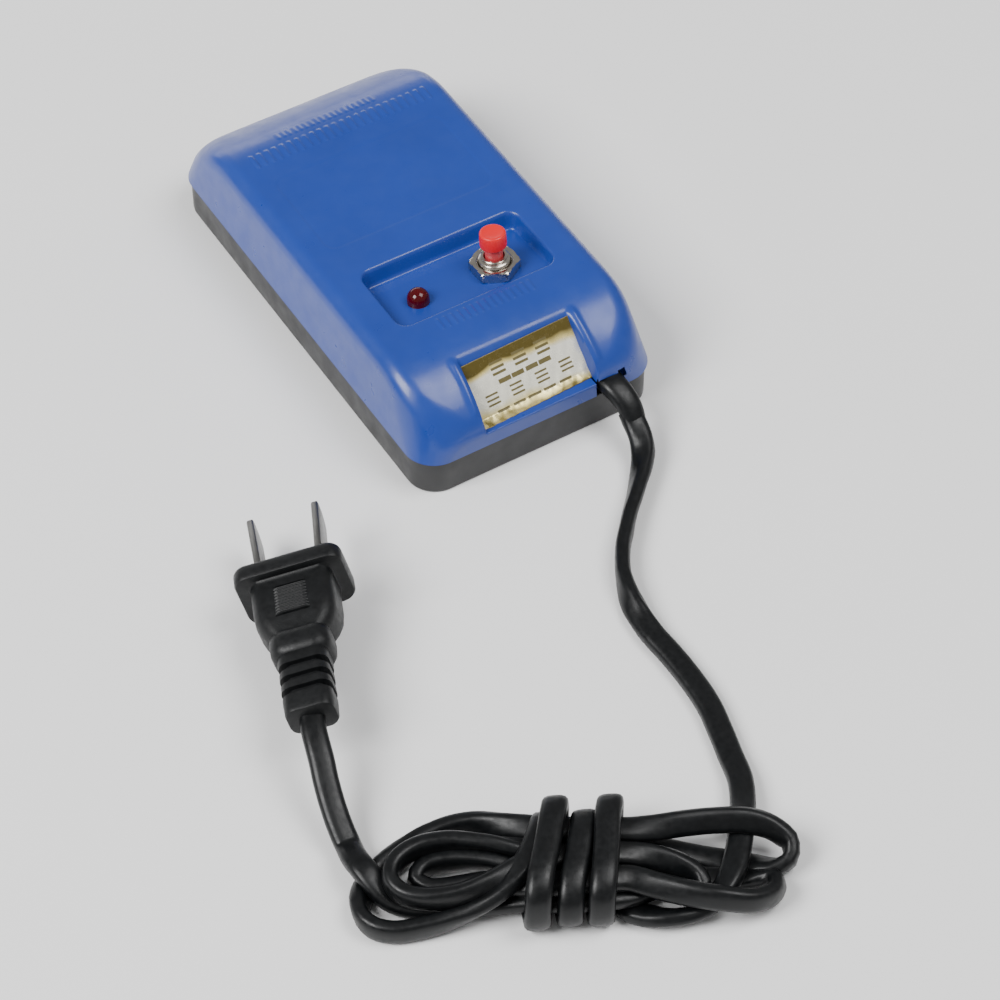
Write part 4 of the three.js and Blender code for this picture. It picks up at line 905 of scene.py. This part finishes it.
def make_label(foil, ink):
    """Foil label that lies along the seat, turned a little, with a lifted lower edge."""
    width, length = LABEL_SIZE
    columns, rows = LABEL_CELLS
    slope = math.radians(SEAT_SLOPE)
    turn = math.radians(LABEL_TURN)
    points = []
    places = []
    for j in range(rows + 1):
        for i in range(columns + 1):
            u, v = i / columns, j / rows
            across = (u - 0.5) * width
            along = (v - 0.5) * length
            x = across * math.cos(turn) - along * math.sin(turn)
            up = across * math.sin(turn) + along * math.cos(turn) + LABEL_MIDDLE
            ripple = math.sin(2.2 * across) * math.sin(1.1 * along + 1) * (1 - v)
            curl = max(0.0, LABEL_CURL_SHARE - v) / LABEL_CURL_SHARE * (1.3 - u)
            lift = LABEL_LIFT + LABEL_RIPPLE * ripple + LABEL_CURL * curl
            points.append((
                x, -HALF_LENGTH + SEAT_FOOT[0] + up * math.cos(slope) - lift * math.sin(slope),
                SEAT_FOOT[1] + up * math.sin(slope) + lift * math.cos(slope)))
            places.append((u, v))
    stride = columns + 1
    faces = []
    for j in range(rows):
        row = list(range(j * stride, (j + 1) * stride))
        faces += band_faces(row, [index + stride for index in row], closed=False)
    piece = make_piece("label", points, faces, foil, "case", ["label_plate"])
    mesh = piece.data
    mesh.materials.append(ink)
    layer = mesh.uv_layers.new(name="print")
    for polygon in mesh.polygons:
        corners = [places[index] for index in polygon.vertices]
        centre = np.mean(corners, axis=0)
        polygon.material_index = int(in_marks(*centre))
        for loop, corner in zip(polygon.loop_indices, corners):
            layer.data[loop].uv = corner
    solid = piece.modifiers.new("foil", "SOLIDIFY")
    solid.thickness = LABEL_THICKNESS * MM


def well_matrix(x):
    """Frame of a control on the well's sloping floor."""
    tilt = Matrix.Rotation(math.radians(-WELL_TILT), 4, "X")
    place = Matrix.Translation((0, WELL_CENTRE, COVER_TOP - WELL_DEPTH))
    return place @ tilt @ Matrix.Translation((x, CONTROL_Y, 0))


def turned_piece(name, profile, x, material, body, node, segments=64, shape=None, ring=False):
    """A piece turned about a control's axis; a ring's profile closes on itself."""
    points, faces = loft(turned(profile, segments, shape), cap=not ring, closed_path=ring)
    make_piece(name, transform(points, well_matrix(x)), faces, material, body, [node])


def hexagon(angle):
    """Distance from the middle of the nut to its side, by angle."""
    return NUT_FLATS / math.cos((angle + math.pi / 6) % (math.pi / 3) - math.pi / 6)


def make_switch(materials):
    nickel = materials["switch_nickel"]
    thread = [(THREAD_RADII[i % 2], THREAD_START + THREAD_STEP * i) for i in range(THREAD_STEPS)]
    bushing = [*BUSHING_FOOT, *thread, *BUSHING_LIP]
    turned_piece(
        "nut", NUT_PROFILE, SWITCH_X, nickel, "case", "switch_nut", 144, hexagon, ring=True)
    turned_piece("bushing", bushing, SWITCH_X, nickel, "case", "switch_bushing", ring=True)
    for name, profile, material in (("stem", STEM_PROFILE, "stem_red"), ("cap", CAP_PROFILE, "button_red")):
        turned_piece(
            name, profile, SWITCH_X, materials[material], "button", f"button_{name}")


def make_lamp(material):
    profile = list(LED_FOOT)
    radius, top = LED_FOOT[-1]
    for i in range(1, 18):
        angle = math.radians(5 * i)
        profile.append((radius * math.cos(angle), top + radius * math.sin(angle)))
    turned_piece("lamp", profile, LED_X, material, "case", "led_lens")


# ---- cord -----------------------------------------------------------------------------------------


def hank_point(point):
    u, v, z, edge = point
    turn = math.radians(HANK_TURN)
    x = HANK_ORIGIN[0] + u * math.cos(turn) - v * math.sin(turn)
    y = HANK_ORIGIN[1] + u * math.sin(turn) + v * math.cos(turn)
    return x, y, z, edge


def wrap_points(back_u, front_u, next_u, back_v, front_v, top):
    """One turn around the bundle: up the back, over to the front, and back underneath."""
    middle_u = (back_u + front_u) / 2
    middle_v = (back_v + front_v) / 2
    flat = CORD_THICKNESS / 2 + 0.1
    return (
        (back_u, back_v - 0.3, 4.4), (back_u, back_v, 7.4), (back_u - 0.3, back_v - 1.3, top - 1.0),
        (back_u - 1.2, back_v - 4.5, top), (middle_u, middle_v, top + 0.1),
        (front_u + 1.0, front_v + 4.5, top - 0.3), (front_u + 0.2, front_v + 1.1, top - 2.2),
        (front_u, front_v, 6.6), (front_u, front_v + 0.4, 3.6), (front_u, front_v + 2.4, flat),
        (front_u, middle_v, flat), (next_u, back_v - 3.2, flat), (next_u, back_v - 1.0, 2.6))


def cord_route():
    """Control points of the whole lead, each with its place and the direction of its wide side."""
    turn = math.radians(HANK_TURN)
    hank_axis = Vector((math.cos(turn), math.sin(turn), 0))
    route = [(point, None) for point in LEAD_POINTS]
    route += [(hank_point(point), None) for point in HANK_ENTRY]
    for wrap in WRAPS:
        for u, v, z in wrap_points(*wrap):
            route.append((hank_point((u, v, z, 0.0)), hank_axis))
    strands = (
        HANK_OUTER_LEFT, HANK_UPPER_RIGHT, HANK_MIDDLE_LEFT, HANK_INNER_RIGHT, HANK_INNER_LEFT,
        HANK_LOWER_RIGHT, HANK_EXIT)
    for strand in strands:
        route += [(hank_point(point), None) for point in strand]
    return route + [(point, None) for point in TAIL_POINTS]


def spline(points, step):
    """Centripetal curve through the points: places, and the segment and fraction of each."""
    padded = [2 * points[0] - points[1], *points, 2 * points[-1] - points[-2]]
    samples = []
    for i in range(len(points) - 1):
        p0, p1, p2, p3 = padded[i : i + 4]
        knots = [0.0]
        for a, b in ((p0, p1), (p1, p2), (p2, p3)):
            knots.append(knots[-1] + max((b - a).length, 1e-4) ** 0.5)
        count = max(2, round((p2 - p1).length / step))
        for k in range(count):
            t = knots[1] + (knots[2] - knots[1]) * k / count
            a1 = p0.lerp(p1, (t - knots[0]) / (knots[1] - knots[0]))
            a2 = p1.lerp(p2, (t - knots[1]) / (knots[2] - knots[1]))
            a3 = p2.lerp(p3, (t - knots[2]) / (knots[3] - knots[2]))
            b1 = a1.lerp(a2, (t - knots[0]) / (knots[2] - knots[0]))
            b2 = a2.lerp(a3, (t - knots[1]) / (knots[3] - knots[1]))
            place = b1.lerp(b2, (t - knots[1]) / (knots[2] - knots[1]))
            samples.append((place, i, k / count))
    samples.append((points[-1], len(points) - 2, 1.0))
    return samples


def flat_section(width, thickness, sides=20, power=3.2):
    """Ring of a flat cord's section, as pairs along its wide and its thin side."""
    ring = []
    for i in range(sides):
        angle = 2 * math.pi * (i + 0.5) / sides
        cosine, sine = math.cos(angle), math.sin(angle)
        reach = (abs(cosine) ** power + abs(sine) ** power) ** (-1 / power)
        ring.append((width / 2 * reach * cosine, thickness / 2 * reach * sine))
    return ring


def wide_direction(tangent, edge, fixed):
    if fixed is not None:
        return fixed
    flat = Vector((0, 0, 1)).cross(tangent).normalized()
    angle = edge * math.pi / 2
    return flat * math.cos(angle) + Vector((0, 0, 1)) * math.sin(angle)


def make_cord(material):
    route = cord_route()
    places = [Vector(point[:3]) for point, _ in route]
    wide = []
    for i, (point, fixed) in enumerate(route):
        tangent = places[min(i + 1, len(places) - 1)] - places[max(i - 1, 0)]
        direction = wide_direction(tangent, point[3], fixed)
        if wide and direction.dot(wide[-1]) < 0:
            direction = -direction
        wide.append(direction)
    samples = spline(places, CORD_STEP)
    centres = [place for place, _, _ in samples]
    section = flat_section(CORD_WIDTH, CORD_THICKNESS)
    rows = []
    for n, (place, i, t) in enumerate(samples):
        tangent = (centres[min(n + 1, len(centres) - 1)] - centres[max(n - 1, 0)]).normalized()
        side = wide[i].lerp(wide[i + 1], t)
        side = (side - tangent * side.dot(tangent)).normalized()
        thin = tangent.cross(side)
        row = [place + side * a + thin * b for a, b in section]
        lift = Vector((0, 0, max(0.0, FLOOR_CLEARANCE - min(point.z for point in row))))
        centres[n] = place + lift
        rows.append([tuple(point + lift) for point in row])
    points, faces = loft(rows)
    nodes = ["cord_lead", "cord_hank", "cord_tail"]
    piece = make_piece("cord", points, faces, material, "case", nodes, 80.0)
    return piece, [tuple(centre * MM) for centre in centres]


def make_relief(material):
    """Tapered sleeve that guides the lead out of the case."""
    centres = [Vector((x, y, RELIEF_HEIGHT - drop)) for x, y, drop, _, _ in RELIEF_STATIONS]
    samples = spline(centres, RELIEF_STEP)
    rows = []
    for n, (place, i, t) in enumerate(samples):
        before = samples[max(n - 1, 0)][0]
        after = samples[min(n + 1, len(samples) - 1)][0]
        tangent = (after - before).normalized()
        side = Vector((1, 0, 0))
        side = (side - tangent * side.dot(tangent)).normalized()
        thin = tangent.cross(side)
        before_size = RELIEF_STATIONS[i][3:]
        after_size = RELIEF_STATIONS[i + 1][3:]
        width, thickness = (a * (1 - t) + b * t for a, b in zip(before_size, after_size))
        section = flat_section(width, thickness, 28, 2.6)
        rows.append([tuple(place + side * a + thin * b) for a, b in section])
    points, faces = loft(rows)
    return make_piece("relief_sleeve", points, faces, material, "case", ["strain_relief"], 60.0)


# ---- plug -----------------------------------------------------------------------------------------


def plug_matrix():
    turn = Matrix.Rotation(math.radians(PLUG_HEADING), 4, "Z")
    turn = turn @ Matrix.Rotation(math.radians(PLUG_PITCH), 4, "X")
    turn = turn @ Matrix.Rotation(math.radians(-PLUG_ROLL), 4, "Y")
    return Matrix.Translation(PLUG_PLACE) @ turn


def plug_ring(y, width, height, radius):
    limited = min(radius, height / 2 - 0.01)
    return [(x, y, z) for x, z, _ in rounded_ring(width / 2, height / 2, limited, 0, 8)]


def plug_stations():
    """Stations of the body, then the grooved neck, then its end block."""
    stations = list(PLUG_STATIONS)
    for start in PLUG_SLOTS:
        stations += [
            (start + SLOT_WIDTH, 10.5, 8.0, 2.4), (start + SLOT_WIDTH - 0.1, 8.0, 6.0, 1.8),
            (start, 8.0, 6.0, 1.8), (start - 0.1, 10.4, 7.9, 2.4)]
    stations += [
        (PLUG_SLOTS[-1] - 1.4, 10.4, 7.9, 2.4), (PLUG_END + 0.6, 10.2, 7.7, 2.4),
        (PLUG_END + 0.15, 9.8, 7.3, 2.3), (PLUG_END, 9.0, 6.6, 2.1)]
    return stations


def make_plug(material):
    rows = [plug_ring(*station) for station in plug_stations()]
    points, faces = loft(rows)
    matrix = plug_matrix()
    return make_piece("plug", transform(points, matrix), faces, material, "case", ["plug_body"])


def make_grip(material):
    """Ribbed window on the upper face of the plug."""
    columns, rows = WINDOW_CELLS
    points = []
    for j in range(rows + 1):
        along = WINDOW_LENGTH * j / rows
        rib = 0.5 + 0.5 * math.cos(2 * math.pi * WINDOW_RIBS * j / rows)
        for i in range(columns + 1):
            x = (2 * i / columns - 1) * WINDOW_HALF_WIDTH
            from_rim = min(WINDOW_HALF_WIDTH - abs(x), along, WINDOW_LENGTH * (1 - j / rows))
            relief = WINDOW_RIB if from_rim < WINDOW_RIM else 0.02 + WINDOW_RIB * rib
            height = WINDOW_HEIGHT + relief if from_rim > 0.05 else WINDOW_SKIRT
            points.append((x, WINDOW_START - along, height))
    stride = columns + 1
    faces = []
    for j in range(rows):
        row = list(range(j * stride, (j + 1) * stride))
        faces += band_faces([index + stride for index in row], row, closed=False)
    placed = transform(points, plug_matrix())
    return make_piece("plug_grip", placed, faces, material, "case")


def make_blade(name, side, material):
    """Flat blade with a rounded slanted tip and softened edges."""
    half = BLADE_WIDTH / 2
    tip = BLADE_LENGTH
    outline = [(-BLADE_ROOT, -half), (tip - 3.2, -half), (tip - 2.2, -half + 0.6), (tip - 1.0, -half + 2.0)]
    outline += [(tip - 0.35, -half + 3.4), (tip - 0.05, half - 1.2), (tip - 0.1, half - 0.25)]
    outline += [(tip - 0.5, half), (-BLADE_ROOT, half)]
    centre_y = (tip - BLADE_ROOT) / 2
    reach_y = (tip + BLADE_ROOT) / 2
    face = BLADE_THICKNESS / 2
    softened = ((face, 0.3), (face - 0.1, 0.1), (face - 0.25, 0.0))
    levels = [(-x, shrink) for x, shrink in softened] + list(reversed(softened))
    rows = []
    for x, shrink in levels:
        rows.append([
            (x, centre_y + (y - centre_y) * (1 - shrink / reach_y), z * (1 - shrink / half))
            for y, z in outline])
    points, faces = loft(rows)
    splay = Matrix.Rotation(math.radians(-side * BLADE_SPLAY), 4, "Z")
    matrix = plug_matrix() @ Matrix.Translation((side * BLADE_PITCH / 2, 0, 0)) @ splay
    node = "plug_blade_left" if side < 0 else "plug_blade_right"
    return make_piece(name, transform(points, matrix), faces, material, "case", [node], 50.0)


# ---- assembly -------------------------------------------------------------------------------------


def make_floor(material):
    mesh = bpy.data.meshes.new("floor")
    reach = FLOOR_REACH * MM
    corners = [(-reach, -reach, 0), (reach, -reach, 0), (reach, reach, 0), (-reach, reach, 0)]
    mesh.from_pydata(corners, [], [(0, 1, 2, 3)])
    mesh.materials.append(material)
    floor = bpy.data.objects.new("floor", mesh)
    bpy.context.scene.collection.objects.link(floor)


def dress_frame(materials):
    """Gives every CAD node the material of its slot."""
    slots = {entry["node"]: entry["material_slot"] for entry in frame["record"]["subparts"]}
    for name, node in frame["nodes"].items():
        node.data.materials.clear()
        node.data.materials.append(materials[slots[name]])


set_camera()
materials = make_materials()
cord, cord_path = make_cord(materials["cord_pvc"])
relief = make_relief(materials["cord_pvc"])
plug = make_plug(materials["plug_pvc"])
grip = make_grip(materials["plug_pvc"])
blade_left = make_blade("blade_left", -1, materials["blade_nickel"])
blade_right = make_blade("blade_right", 1, materials["blade_nickel"])
dress_frame(materials)
make_cover(materials["cover_blue"])
make_base(materials["case_black"])
make_label(materials["label_foil"], materials["label_ink"])
make_switch(materials)
make_lamp(materials["lens_red"])
make_floor(floor_paper())
set_light()
